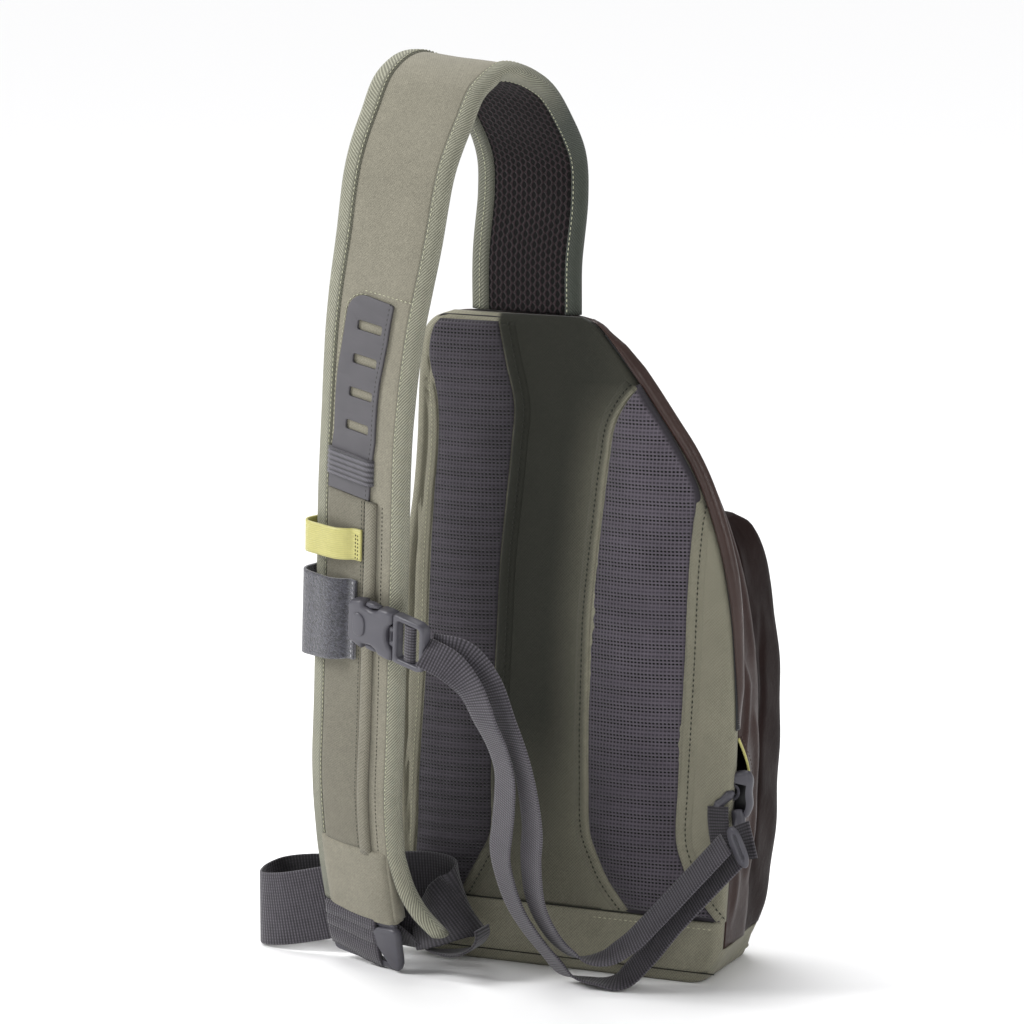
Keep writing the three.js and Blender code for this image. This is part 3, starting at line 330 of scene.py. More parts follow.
def smooth_line(points, count, closed=False):
    """Even points on a smooth curve through points of any dimension."""
    points = np.asarray(points, float)
    if closed:
        line = np.vstack([points[-2:], points, points[:3]])
        t = np.linspace(2, 2 + len(points), count * 6 + 1) / (len(line) - 1)
    else:
        line, t = points, np.linspace(0, 1, count * 6)
    fine = path_at(line, t)
    run = np.concatenate([[0], np.cumsum(np.linalg.norm(np.diff(fine, axis=0), axis=1))])
    at = np.linspace(0, run[-1], count + 1)[:-1] if closed else np.linspace(0, run[-1], count)
    return np.stack([np.interp(at, run, fine[:, k]) for k in range(points.shape[1])], axis=1)


def swept(name, track, lengths, section, material, u=None, **made):
    """Body whose section, points (side, height) that may change with the length, follows a track."""
    rings = []
    for length in lengths:
        shape = np.asarray(section(length) if callable(section) else section, float)
        rings.append(track.point(np.full(len(shape), length), shape[:, 0], shape[:, 1]))
    return loft(name, rings, material, u=u, v=np.asarray(lengths, float), **made)


def bump(x, middle, width):
    return np.exp(-((x - middle) / width) ** 2)


def coordinates(piece):
    co = np.zeros(len(piece.data.vertices) * 3, np.float32)
    piece.data.vertices.foreach_get("co", co)
    return co.reshape(-1, 3).astype(float)


def set_coordinates(piece, co):
    piece.data.vertices.foreach_set("co", co.astype(np.float32).ravel())
    piece.data.update()


def apply_all(piece):
    """Bakes the modifiers of a piece into its mesh."""
    graph = bpy.context.evaluated_depsgraph_get()
    made = bpy.data.meshes.new_from_object(piece.evaluated_get(graph))
    old = piece.data
    piece.modifiers.clear()
    piece.data = made
    made.name = piece.name
    if old.users == 0:
        bpy.data.meshes.remove(old)


def give_tone(piece, name, values):
    layer = piece.data.attributes.new(name, "FLOAT", "POINT")
    layer.data.foreach_set("value", np.asarray(values, np.float32))


# ---- Shader maths

class Value:
    """A number or colour that a node gives, with arithmetic that adds Math nodes."""

    def __init__(self, looks, socket):
        self.looks = looks
        self.socket = socket

    def maths(self, operation, *values):
        node = self.looks.node("ShaderNodeMath", {"operation": operation}, dict(enumerate(values)))
        return node

    def __add__(self, other):
        return self.maths("ADD", self, other)

    __radd__ = __add__

    def __sub__(self, other):
        return self.maths("SUBTRACT", self, other)

    def __rsub__(self, other):
        return self.maths("SUBTRACT", other, self)

    def __mul__(self, other):
        return self.maths("MULTIPLY", self, other)

    __rmul__ = __mul__

    def __truediv__(self, other):
        return self.maths("DIVIDE", self, other)

    def __rtruediv__(self, other):
        return self.maths("DIVIDE", other, self)

    def __pow__(self, other):
        return self.maths("POWER", self, other)

    def __neg__(self):
        return self.maths("MULTIPLY", self, -1)

    def __abs__(self):
        return self.maths("ABSOLUTE", self)

    def wave(self, pitch, shift=0.0):
        """A cosine of this length, from 0 to 1, over a pitch."""
        turn = self * (2 * math.pi / pitch) + shift
        return turn.maths("COSINE", turn) * 0.5 + 0.5

    def part(self, pitch):
        """How far this length is into its pitch, from 0 to 1."""
        cell = self / pitch
        return cell.maths("FRACT", cell)

    def count(self, pitch):
        cell = self / pitch
        return cell.maths("FLOOR", cell)

    def most(self, other):
        return self.maths("MAXIMUM", self, other)

    def least(self, other):
        return self.maths("MINIMUM", self, other)

    def above(self, level, soft):
        """0 below level and 1 above it, with a soft step between."""
        return self.looks.node("ShaderNodeMapRange", {"interpolation_type": "SMOOTHSTEP"}, {
            "Value": self, "From Min": level - soft / 2, "From Max": level + soft / 2})


class Looks:
    """The nodes of one material."""

    def __init__(self, name, roughness=0.85, **constants):
        self.material = bpy.data.materials.new(name)
        self.material.use_nodes = True
        self.tree = self.material.node_tree
        self.shader = self.tree.nodes["Principled BSDF"]
        self.shader.inputs["Roughness"].default_value = roughness
        for socket, value in constants.items():
            self.shader.inputs[socket.replace("_", " ")].default_value = value

    def feed(self, socket, value):
        if isinstance(value, Value):
            self.tree.links.new(value.socket, socket)
        elif isinstance(value, (tuple, list)) and socket.type == "RGBA":
            socket.default_value = (*value[:3], 1)
        else:
            socket.default_value = value

    def node(self, kind, settings=None, inputs=None, outlet=0):
        """Any node: its settings first, then its inputs by name or number."""
        made = self.tree.nodes.new(kind)
        for name, value in (settings or {}).items():
            if name == "stops":
                for stop, (place, colour) in zip(made.color_ramp.elements, value):
                    stop.position, stop.color = place, (*colour, 1)
            else:
                setattr(made, name, value)
        for name, value in (inputs or {}).items():
            self.feed(made.inputs[name], value)
        return Value(self, made.outputs[outlet])

    def cloth(self):
        """Cloth coordinates in millimetres: across and along."""
        uv = self.node("ShaderNodeUVMap", {"uv_map": "cloth"})
        parts = self.node("ShaderNodeSeparateXYZ", inputs={"Vector": uv})
        return [Value(self, parts.socket.node.outputs[k]) * 1000 for k in range(2)]

    def place(self):
        """Object coordinates in millimetres."""
        spot = self.node("ShaderNodeTexCoord", outlet="Object")
        parts = self.node("ShaderNodeSeparateXYZ", inputs={"Vector": spot})
        return [Value(self, parts.socket.node.outputs[k]) * 1000 for k in range(3)]

    def noise(self, size, detail=3.0, roughness=0.55):
        """Noise from 0 to 1 in object space, of a size in millimetres."""
        spot = self.node("ShaderNodeTexCoord", outlet="Object")
        return self.node("ShaderNodeTexNoise", inputs={
            "Vector": spot, "Scale": 1000 / size, "Detail": detail, "Roughness": roughness})

    def mix(self, share, first, second):
        made = self.tree.nodes.new("ShaderNodeMix")
        made.data_type = "RGBA"
        self.feed(made.inputs[0], share)
        self.feed(made.inputs[6], first)
        self.feed(made.inputs[7], second)
        return Value(self, made.outputs[2])

    def colour(self, value):
        self.feed(self.shader.inputs["Base Color"], value)
        return self

    def rough(self, value):
        self.feed(self.shader.inputs["Roughness"], value)
        return self

    def relief(self, height, depth):
        """Bumps of a depth in millimetres from a height of 0 to 1."""
        normal = self.node("ShaderNodeBump", inputs={"Strength": 1.0, "Distance": depth * MM, "Height": height})
        self.feed(self.shader.inputs["Normal"], normal)
        return self


def shade(colour, factor):
    return tuple(min(1, part * factor) for part in colour)


def woven(name, colour, pitch=1.1, contrast=0.16, depth=0.12, flat=False, toned=False):
    """Plain cloth with a fine diagonal weave, mottled a little; where toned, painted shade darkens it where its tone
    attribute is low.
    """
    looks = Looks(name, 0.9, Sheen_Weight=0.1, Specular_IOR_Level=0.2)
    if flat:
        x, y, z = looks.place()
        u, v = x + y * 0.6, z + y * 0.3
    else:
        u, v = looks.cloth()
    weave = (u + v).wave(pitch) * 0.6 + (u - v).wave(pitch * 1.25) * 0.4
    grain = looks.noise(1.1, 3, 0.7)
    mottle = looks.noise(22, 4) * 0.5 + looks.noise(5, 3) * 0.5
    tone = (weave - 0.5) * contrast + (grain - 0.5) * 0.9 + (mottle - 0.5) * 0.35 + 0.5
    cloth = looks.mix(tone, shade(colour, 0.45), shade(colour, 1.55))
    if toned:
        # Painted shade: a low tone attribute turns the cloth toward a near-black shade colour.
        shadow = looks.node("ShaderNodeAttribute", {"attribute_name": "tone"}, outlet="Fac")
        painted_shade_colour = looks.mix(tone, (0.004, 0.0045, 0.003), (0.012, 0.0135, 0.010))
        cloth = looks.mix(shadow, painted_shade_colour, cloth)
    looks.colour(cloth)
    return looks.relief(weave * 0.6 + grain * 0.4, depth).material


OLIVE = (0.198, 0.190, 0.142)
KHAKI = (0.203, 0.191, 0.149)
SAGE = (0.27, 0.268, 0.205)
PLUM = (0.052, 0.045, 0.056)
BARK = (0.025, 0.0125, 0.0105)
SLATE = (0.075, 0.072, 0.079)
STRAND = (0.052, 0.047, 0.057)
PLASTIC = (0.060, 0.058, 0.070)

olive_cloth = woven("olive cloth", OLIVE, pitch=1.9, contrast=0.5, depth=0.2, flat=True, toned=True)
band_cloth = woven("base band cloth", shade(OLIVE, 1.02), pitch=1.9, contrast=0.5, depth=0.2, flat=True)
khaki_cloth = woven("khaki cloth", KHAKI, pitch=1.5, contrast=0.25)
# Shaded copy of the khaki cloth for the strap pocket: painted shade for the strap's lower part.
shaded_pocket_khaki = woven("pocket khaki", shade(KHAKI, 0.74), pitch=1.5, contrast=0.3)
khaki_rib = woven("ribbed khaki cloth", shade(KHAKI, 0.85), pitch=2.0, contrast=0.6, depth=0.25)


def herringbone():
    """Tape with slanted ribs that turn at its fold, darker at its sewn edges, with painted shade where its tone
    attribute is low.
    """
    looks = Looks("herringbone tape", 0.85, Sheen_Weight=0.1, Specular_IOR_Level=0.25)
    u, v = looks.cloth()
    rib = (v + abs(u) * 1.3).wave(2.3)
    sewn = abs(u).above(10.9, 1.2)
    tone = rib * 0.75 + (looks.noise(9, 3) - 0.5) * 0.3 + (looks.noise(1.2, 2) - 0.5) * 0.4 + 0.12
    cloth = looks.mix(tone, shade(SAGE, 0.42), shade(SAGE, 1.3))
    cloth = looks.mix(sewn, cloth, shade(SAGE, 0.55))
    # Painted shade: a low tone attribute turns the tape dark grey-green.
    shadow = looks.node("ShaderNodeAttribute", {"attribute_name": "tone"}, outlet="Fac")
    looks.colour(looks.mix(shadow, (0.028, 0.036, 0.031), cloth))
    return looks.relief(rib, 0.45).material


def spacer_mesh(name, colour):
    """Mesh with rows of small holes, in bands, plain near its edges, with painted shade along its rim and where its
    tone attribute is low.
    """
    looks = Looks(name, 0.85, Sheen_Weight=0.2, Sheen_Roughness=0.5, Specular_IOR_Level=0.25)
    x, y, z = looks.place()
    hole = (((x.part(2.5) - 0.5) * 2.5) / 0.95) ** 2 + (((z.part(2.5) - 0.5) * 2.5) / 0.8) ** 2
    inner = looks.node("ShaderNodeAttribute", {"attribute_name": "inner"}, outlet="Fac")
    band = (z.wave(10.5, 2.0) * 0.6 + looks.noise(34, 2) * 0.9).least(1.0) * inner
    open_hole = (1 - hole.above(1.0, 0.6)) * band
    rib = z.wave(2.5, 0.0)
    fine = x.wave(1.25)
    tone = rib * 0.18 + fine * 0.12 + looks.noise(26, 3) * 0.45 + (looks.noise(0.9, 2) - 0.5) * 0.5 + 0.04
    # Painted shade: a low tone attribute darkens the parts of a pad that lie in shade.
    lit = looks.node("ShaderNodeAttribute", {"attribute_name": "tone"}, outlet="Fac")
    cloth = looks.mix(tone, shade(colour, 0.5), shade(colour, 2.05))
    cloth = looks.mix(lit.least(1.0), shade(colour, 0.3), cloth)
    # Painted shade along the rim, where inner is low.
    cloth = looks.mix(inner, shade(colour, 0.35), cloth)
    looks.colour(looks.mix(open_hole, cloth, (0.001, 0.001, 0.0014)))
    return looks.relief((1 - open_hole) * 0.8 + rib * 0.2, 0.7).material


def open_mesh():
    """Strap lining with long holes in offset rows."""
    looks = Looks("open mesh", 0.8, Sheen_Weight=0.05, Specular_IOR_Level=0.2)
    u, v = looks.cloth()
    column_of = u.count(3.5)
    shifted = v + (column_of * 0.5).part(1.0) * 6.0
    hole = (abs((u.part(3.5) - 0.5) * 3.5) / 1.6) ** 1.5 + (abs((shifted.part(6.0) - 0.5) * 6.0) / 2.6) ** 1.5
    gap = 1 - hole.above(1.0, 0.6)
    tone = looks.noise(1.3, 2) * 0.6 + looks.noise(25, 2) * 0.4
    cloth = looks.mix(tone, (0.004, 0.0024, 0.0027), (0.040, 0.025, 0.029))
    looks.colour(looks.mix(gap, cloth, (0.001, 0.0008, 0.0008)))
    return looks.relief(1 - gap, 1.1).material


def ribbed_webbing(name, colour, pitch=2.0, lengthwise=2.0, toned=False):
    looks = Looks(name, 0.75, Sheen_Weight=0.2, Specular_IOR_Level=0.35)
    u, v = looks.cloth()
    rib = v.wave(pitch)
    knit = rib * 0.5 + rib * u.wave(lengthwise) * 0.5
    tone = knit * 0.85 + (looks.noise(6, 3) - 0.5) * 0.25 + 0.06
    cloth = looks.mix(tone, shade(colour, 0.2), shade(colour, 2.0))
    if toned:
        # Painted shade: a low tone attribute turns the webbing near black.
        shadow = looks.node("ShaderNodeAttribute", {"attribute_name": "tone"}, outlet="Fac")
        cloth = looks.mix(shadow, (0.002, 0.0018, 0.0022), cloth)
    looks.colour(cloth)
    return looks.relief(knit, 0.35).material


def satin_ribbon():
    """Bright ribbon with fine lengthwise ribs."""
    looks = Looks("lime ribbon", 0.42, Sheen_Weight=0.1, Specular_IOR_Level=0.4)
    u, v = looks.cloth()
    tone = u.wave(1.4) * 0.25 + v.wave(0.9) * 0.15 + looks.noise(7, 3) * 0.35 + 0.15
    looks.colour(looks.mix(tone, (0.27, 0.255, 0.075), (0.57, 0.53, 0.19)))
    return looks.relief(u.wave(1.4), 0.12).material


def coated(name, colour, shine, gloss):
    """Soft brown coated cloth: satin, with a fine grain."""
    looks = Looks(name, 0.45, Specular_IOR_Level=gloss)
    grain = looks.node("ShaderNodeTexVoronoi", {"feature": "DISTANCE_TO_EDGE"}, {
        "Vector": looks.node("ShaderNodeTexCoord", outlet="Object"), "Scale": 900.0})
    folds = looks.noise(30, 4)
    looks.colour(looks.mix(folds, shade(colour, 0.6), shade(colour, 1.5)))
    looks.rough(looks.noise(18, 4) * 0.2 + shine)
    return looks.relief(grain * 0.6 + looks.noise(6, 3) * 1.4, 0.22).material


def smooth_plastic(name, colour, roughness, grain):
    looks = Looks(name, roughness, Specular_IOR_Level=0.45)
    looks.colour(looks.mix(looks.noise(12, 3), shade(colour, 0.86), shade(colour, 1.14)))
    looks.rough(looks.noise(3, 3) * 0.15 + roughness - 0.07)
    return looks.relief(looks.noise(0.5, 2), grain).material


def pile_cloth():
    looks = Looks("short pile", 0.95, Sheen_Weight=0.5, Sheen_Roughness=0.6, Specular_IOR_Level=0.15)
    fuzz = looks.noise(1.6, 4, 0.75)
    looks.colour(looks.mix(fuzz.above(0.5, 0.3), (0.006, 0.006, 0.009), (0.058, 0.058, 0.078)))
    return looks.relief(fuzz, 0.9).material


def thread(name, colour):
    looks = Looks(name, 0.7, Specular_IOR_Level=0.3)
    return looks.colour(looks.mix(looks.noise(2, 2), shade(colour, 0.7), shade(colour, 1.3))).material


tape = herringbone()
# Lit and shaded copies of one spacer mesh: the left pad's copy darker as painted shade, the right pad's lighter as
# painted light.
left_mesh = spacer_mesh("spacer mesh", shade(PLUM, 0.8))
right_mesh = spacer_mesh("lit spacer mesh", shade(PLUM, 1.55))
strap_mesh = open_mesh()
webbing = ribbed_webbing("dark webbing", STRAND)
# Shaded copy of the dark webbing: painted shade for the strands that lie in shade.
shaded_webbing = ribbed_webbing("shaded webbing", shade(STRAND, 0.6))
waist_webbing = ribbed_webbing("waist webbing", STRAND, toned=True)
lime = satin_ribbon()
elastic = ribbed_webbing("elastic", (0.085, 0.082, 0.092), pitch=3.4, lengthwise=1.1)
bark = coated("coated cloth", shade(BARK, 1.1), 0.3, 0.1)
# Lit and shaded copies of one coated cloth: the pocket's copy darker as painted shade, the roll's copy lighter as
# painted light.
shaded_pocket_bark = coated("pocket cloth", (0.0105, 0.0046, 0.0040), 0.4, 0.04)
lit_roll_bark = coated("rolled cloth", (0.038, 0.0215, 0.018), 0.2, 0.3)
slate = smooth_plastic("slate panel", SLATE, 0.62, 0.05)
plastic = smooth_plastic("moulded plastic", PLASTIC, 0.42, 0.03)
zip_coil = smooth_plastic("zip", (0.006, 0.006, 0.007), 0.5, 0.03)
pile = pile_cloth()
sage_thread = thread("sage thread", (0.42, 0.42, 0.30))
olive_thread = thread("olive thread", (0.016, 0.017, 0.012))
pale_thread = thread("pale thread", (0.40, 0.40, 0.42))
bark_thread = thread("brown thread", (0.085, 0.06, 0.052))


# ---- Stitches and teeth, by Geometry Nodes

def row_tree():
    """Copies of a small round body, of named sizes, along chains of edges that carry the way out."""
    tree = bpy.data.node_groups.new("stitch rows", "GeometryNodeTree")
    face = tree.interface
    face.new_socket(name="Geometry", in_out="INPUT", socket_type="NodeSocketGeometry")
    sizes = {}
    for name, value in (("Pitch", 3.2 * MM), ("Length", 2.2 * MM), ("Width", 0.7 * MM), ("Height", 0.5 * MM)):
        socket = face.new_socket(name=name, in_out="INPUT", socket_type="NodeSocketFloat")
        socket.default_value = value
        sizes[name] = socket.identifier
    sizes["Material"] = face.new_socket(
        name="Material", in_out="INPUT", socket_type="NodeSocketMaterial").identifier
    face.new_socket(name="Geometry", in_out="OUTPUT", socket_type="NodeSocketGeometry")
    node, join = tree.nodes.new, tree.links.new
    given, out = node("NodeGroupInput"), node("NodeGroupOutput")
    curve, even = node("GeometryNodeMeshToCurve"), node("GeometryNodeResampleCurve")
    even.mode = "LENGTH"
    join(given.outputs["Geometry"], curve.inputs["Mesh"])
    join(curve.outputs["Curve"], even.inputs["Curve"])
    join(given.outputs["Pitch"], even.inputs["Length"])
    tangent, way = node("GeometryNodeInputTangent"), node("GeometryNodeInputNamedAttribute")
    way.data_type = "FLOAT_VECTOR"
    way.inputs["Name"].default_value = "out"
    first, second = (node("FunctionNodeAlignRotationToVector") for _ in range(2))
    first.axis, second.axis, second.pivot_axis = "X", "Z", "X"
    join(tangent.outputs["Tangent"], first.inputs["Vector"])
    join(first.outputs["Rotation"], second.inputs["Rotation"])
    join(way.outputs["Attribute"], second.inputs["Vector"])
    ball, copies = node("GeometryNodeMeshUVSphere"), node("GeometryNodeInstanceOnPoints")
    ball.inputs["Segments"].default_value = 6
    ball.inputs["Rings"].default_value = 4
    ball.inputs["Radius"].default_value = 0.5
    size = node("ShaderNodeCombineXYZ")
    for axis, name in zip("XYZ", ("Length", "Width", "Height")):
        join(given.outputs[name], size.inputs[axis])
    join(even.outputs["Curve"], copies.inputs["Points"])
    join(ball.outputs["Mesh"], copies.inputs["Instance"])
    join(second.outputs["Rotation"], copies.inputs["Rotation"])
    join(size.outputs["Vector"], copies.inputs["Scale"])
    real, paint = node("GeometryNodeRealizeInstances"), node("GeometryNodeSetMaterial")
    join(copies.outputs["Instances"], real.inputs["Geometry"])
    join(real.outputs["Geometry"], paint.inputs["Geometry"])
    join(given.outputs["Material"], paint.inputs["Material"])
    join(paint.outputs["Geometry"], out.inputs["Geometry"])
    return tree, sizes


ROWS, ROW_SIZES = row_tree()


def stitches(name, rows, material, pitch=3.2, length=2.2, width=0.7, height=0.5):
    """One piece of all the stitches along rows, each row its points and its ways out."""
    points, ways, edges = [], [], []
    for row, way in rows:
        start = len(points)
        points.extend(np.asarray(row) * MM)
        ways.extend(np.broadcast_to(way, np.shape(row)))
        edges.extend((start + k, start + k + 1) for k in range(len(row) - 1))
    mesh = bpy.data.meshes.new(name + "_rows")
    mesh.from_pydata([tuple(p) for p in points], edges, [])
    out = mesh.attributes.new("out", "FLOAT_VECTOR", "POINT")
    out.data.foreach_set("vector", np.asarray(ways, np.float32).ravel())
    guide = bpy.data.objects.new(name + "_rows", mesh)
    bpy.context.scene.collection.objects.link(guide)
    rule = guide.modifiers.new("rows", "NODES")
    rule.node_group = ROWS
    values = {"Pitch": pitch, "Length": length, "Width": width, "Height": height}
    for key, value in values.items():
        rule[ROW_SIZES[key]] = value * MM
    rule[ROW_SIZES["Material"]] = material
    graph = bpy.context.evaluated_depsgraph_get()
    made = bpy.data.meshes.new_from_object(guide.evaluated_get(graph))
    bpy.data.objects.remove(guide)
    made.name = name
    piece = bpy.data.objects.new(name, made)
    bpy.context.scene.collection.objects.link(piece)
    finish_mesh(piece, material)
    return piece


def strap_row(side, start, end, height, face=1):
    """Row along the strap at a side, lying on a height above its middle."""
    lengths = np.arange(start, end, 4.0)
    sides = side(lengths) if callable(side) else np.full(len(lengths), float(side))
    low = strap.point(lengths, sides, np.full(len(lengths), height))
    high = strap.point(lengths, sides, np.full(len(lengths), height + face))
    return low, unit(high - low)


# ---- Shoulder strap

def crown(side, edge, middle, half=COVER_HALF):
    """Height of the padded face across the strap."""
    return edge + (middle - edge) * (1 - np.abs(side / half) ** 3.2)


def wide_steps(start, end, step):
    return np.linspace(start, end, max(2, int((end - start) / step)) + 1)


def cover_section(length):
    sides = np.linspace(-COVER_HALF, COVER_HALF, 31)
    soft = 0.12 * np.sin(length / 23) + 0.1 * np.sin(length / 9 + sides / 7)
    top = crown(sides, 4.9, STRAP_FACE + 0.1) + soft * (1 - np.abs(sides / COVER_HALF) ** 2)
    low = np.full(9, -STRAP_FACE + 2.6)
    return np.concatenate([np.stack([sides, top], axis=1),
                           np.stack([np.linspace(COVER_HALF, -COVER_HALF, 9), low], axis=1)])


def lining_section(length):
    sides = np.linspace(-COVER_HALF, COVER_HALF, 31)
    low = -crown(sides, 4.9, STRAP_FACE)
    return np.concatenate([np.stack([sides[::-1], low[::-1]], axis=1),
                           np.stack([np.linspace(-COVER_HALF, COVER_HALF, 9), np.full(9, -3.5)], axis=1)])


strap_steps = wide_steps(0, strap.length, 3.0)
strap_cover = swept("strap_cover", strap, strap_steps, cover_section, khaki_cloth,
                    slot="khaki_cloth", replaces=["strap_pad"])
strap_lining = swept("strap_mesh_lining", strap, strap_steps, lining_section, strap_mesh,
                     slot="strap_mesh", replaces=["strap_lining"])

LOBE = np.array([(0, 4.7), (0.2, 5.7), (1.1, 6.5), (3.4, 6.3), (5.6, 5.5), (7.6, 4.1), (9.1, 2.3), (9.6, 0),
                 (9.1, -2.3), (7.6, -4.1), (5.6, -5.5), (3.4, -6.3), (1.1, -6.5), (0.2, -5.7), (0, -4.7)])
FLARE = np.array([(0, 0.4), (0.2, 0.21), (0.5, 0.08), (1, 0)])


def tape_section(side, flared):
    shape = smooth_line(LOBE, 26)

    def section(length):
        flare = 0.0
        if flared and length < HEM:
            flare = float(column(FLARE, 1, length / HEM)) * STRAP_HALF * 2
        wobble = 0.18 * math.sin(length / 17 + side) + 0.12 * math.sin(length / 5.3)
        points = shape.copy()
        wide = 4.6 * np.clip(1 - shape[:, 0] / 7, 0, 1) * (1 if side < 0 else 0)
        points[:, 0] = side * (TAPE_EDGE - wide + shape[:, 0] * (1 + 0.02 * wobble)) + flare
        points[:, 1] = shape[:, 1] * (1 + 0.04 * wobble)
        return points
    return section


def tape_u():
    shape = smooth_line(LOBE, 26)
    run = np.concatenate([[0], np.cumsum(np.linalg.norm(np.diff(shape, axis=0), axis=1))])
    return run - run[-1] / 2


for side, name in ((-1, "strap_binding_left"), (1, "strap_binding_right")):
    edge = swept(name.replace("binding", "tape"), strap, strap_steps, tape_section(side, side > 0), tape,
                 u=tape_u(), slot="binding", replaces=[name])
    # Painted shade: the bindings darken along the strap's rear run by the pack, the right one most.
    depth = coordinates(edge)[:, 1] / MM
    give_tone(edge, "tone", np.clip((-depth - 62) / 60, 0.12 if side > 0 else 0.6, 1))

stitches("strap_tape_stitches", [
    strap_row(-26.4, HEM + 4, strap.length, 6.75), strap_row(31.3, 52, strap.length, 6.6),
    strap_row(-31.3, 20, strap.length, -6.6, -1), strap_row(31.3, 52, strap.length, -6.6, -1),
], sage_thread, pitch=3.4, length=2.4, width=0.75, height=0.5)


def soft_patch(left, right, low, thick, puff=0.0, edge=1.0, columns=17):
    """Section of a flat sewn piece with round edges, on the strap's outer face."""
    def section(length):
        l, r = (left(length), right(length)) if callable(left) else (left, right)
        s = np.linspace(0, 1, columns)
        sides = l + (r - l) * s
        near = np.minimum(s, 1 - s) * (r - l)
        rise = np.sqrt(np.clip(1 - (1 - np.clip(near / edge, 0, 1)) ** 2, 0, 1))
        top = low + (thick + puff * 4 * s * (1 - s)) * rise
        ground = np.full(columns, low - 0.6)
        return np.concatenate([np.stack([sides, top], axis=1), np.stack([sides[::-1], ground], axis=1)])
    return section


def rounded_steps(start, end, step, edge=1.0):
    lengths = wide_steps(start + edge, end - edge, step)
    return np.concatenate([[start, start + edge * 0.3], lengths, [end - edge * 0.3, end]])


FACE = STRAP_FACE + 0.1
swept("strap_pocket_cloth", strap, wide_steps(HEM, POCKET_TOP, 4.0),
      soft_patch(-25.8, POCKET_RIGHT, FACE, 1.4, puff=0.9, columns=21), shaded_pocket_khaki,
      slot="khaki_cloth", replaces=["strap_pocket"])


def fold_section(length):
    lean = -2.2 * (1 - length / POCKET_TOP)
    line = smooth_line([(-4.2, 0), (-4.6, 2.4), (-3, 3.9), (0, 4.3), (3, 3.7), (4.4, 1.9), (4.0, 0)], 15)
    return np.stack([FOLD_MIDDLE + lean + line[:, 0], FACE - 0.4 + line[:, 1] * 0.93], axis=1)


swept("pocket_pleat", strap, wide_steps(HEM, POCKET_TOP, 4.0), fold_section, khaki_rib,
      slot="khaki_cloth", replaces=["pocket_fold"])


def hem_section(length):
    """Wrapped hem over the strap's end, round at its sides."""
    near = min(1.0, (HEM + 3 - length) / 1.5)
    swell = 0.5 + 0.4 * math.sin(length / 11)
    line = [(-31.4, -3.0), (-31.9, 1.5), (-30.6, 5.6), (-27.5, 7.6), (-15, 8.6 + swell * 0.4),
            (2, 8.9 + swell), (17, 8.3 + swell), (25, 7.0), (28, 4.6), (28, -3.0)]
    line = smooth_line(line, 26)
    line[:, 1] = np.where(line[:, 1] > 4, 4 + (line[:, 1] - 4) * near, line[:, 1])
    return line


hem_steps = np.concatenate([[-2.6, -2.2, -1.2], wide_steps(0.5, HEM + 1, 3.0), [HEM + 2, HEM + 2.7, HEM + 3]])
swept("strap_hem", strap, hem_steps, hem_section, khaki_cloth, slot="khaki_cloth")


# ---- Flat plates bent onto a track or placed on a frame

def plate_mesh(outline, holes, thick, bevel, cuts=(), resolution=2):
    """Points and faces of a plate with holes and rounded rims, cut across where it bends."""
    curve = bpy.data.curves.new("plate", "CURVE")
    curve.dimensions = "2D"
    curve.fill_mode = "BOTH"
    curve.extrude = thick / 2 - bevel
    curve.bevel_depth = bevel
    curve.bevel_resolution = resolution
    curve.offset = -bevel
    for loop in [outline, *holes]:
        line = curve.splines.new("POLY")
        line.points.add(len(loop) - 1)
        for point, (x, y) in zip(line.points, loop):
            point.co = (x, y, 0, 1)
        line.use_cyclic_u = True
    holder = bpy.data.objects.new("plate", curve)
    mesh = bpy.data.meshes.new_from_object(holder)
    bpy.data.objects.remove(holder)
    body = bmesh.new()
    body.from_mesh(mesh)
    bpy.data.meshes.remove(mesh)
    bmesh.ops.remove_doubles(body, verts=body.verts, dist=0.01)
    for y in cuts:
        parts = body.verts[:] + body.edges[:] + body.faces[:]
        bmesh.ops.bisect_plane(body, geom=parts, plane_co=(0, y, 0), plane_no=(0, 1, 0), dist=1e-4)
    bmesh.ops.triangulate(body, faces=[f for f in body.faces if len(f.verts) > 4])
    body.verts.index_update()
    points = np.array([v.co for v in body.verts])
    faces = [[v.index for v in f.verts] for f in body.faces]
    body.free()
    return points, faces


def oval(x0, x1, y0, y1, radius, steps=5):
    """Box outline with round corners."""
    corners = [(x1 - radius, y0 + radius), (x1 - radius, y1 - radius),
               (x0 + radius, y1 - radius), (x0 + radius, y0 + radius)]
    turns = np.linspace(-1, 0, steps) * math.pi / 2
    return [(x + radius * math.cos(q * math.pi / 2 + a), y + radius * math.sin(q * math.pi / 2 + a))
            for q, (x, y) in enumerate(corners) for a in turns]


def strap_plate(name, outline, holes, low, thick, bevel, material, step=6.0, **made):
    """Plate drawn in (side, length), bent onto the strap's outer face."""
    lengths = [y for _, y in outline]
    cuts = np.arange(min(lengths) + step, max(lengths), step)
    points, faces = plate_mesh(outline, holes, thick, bevel, cuts)
    bent = strap.point(points[:, 1], points[:, 0], low + thick / 2 + points[:, 2])
    uvs = [[(points[i][0], points[i][1]) for i in face] for face in faces]
    return make_piece(name, bent, faces, material, uvs, **made)


def dock_lean(t):
    return DOCK_RIGHT + (DOCK_TOP_RIGHT - DOCK_RIGHT) * t


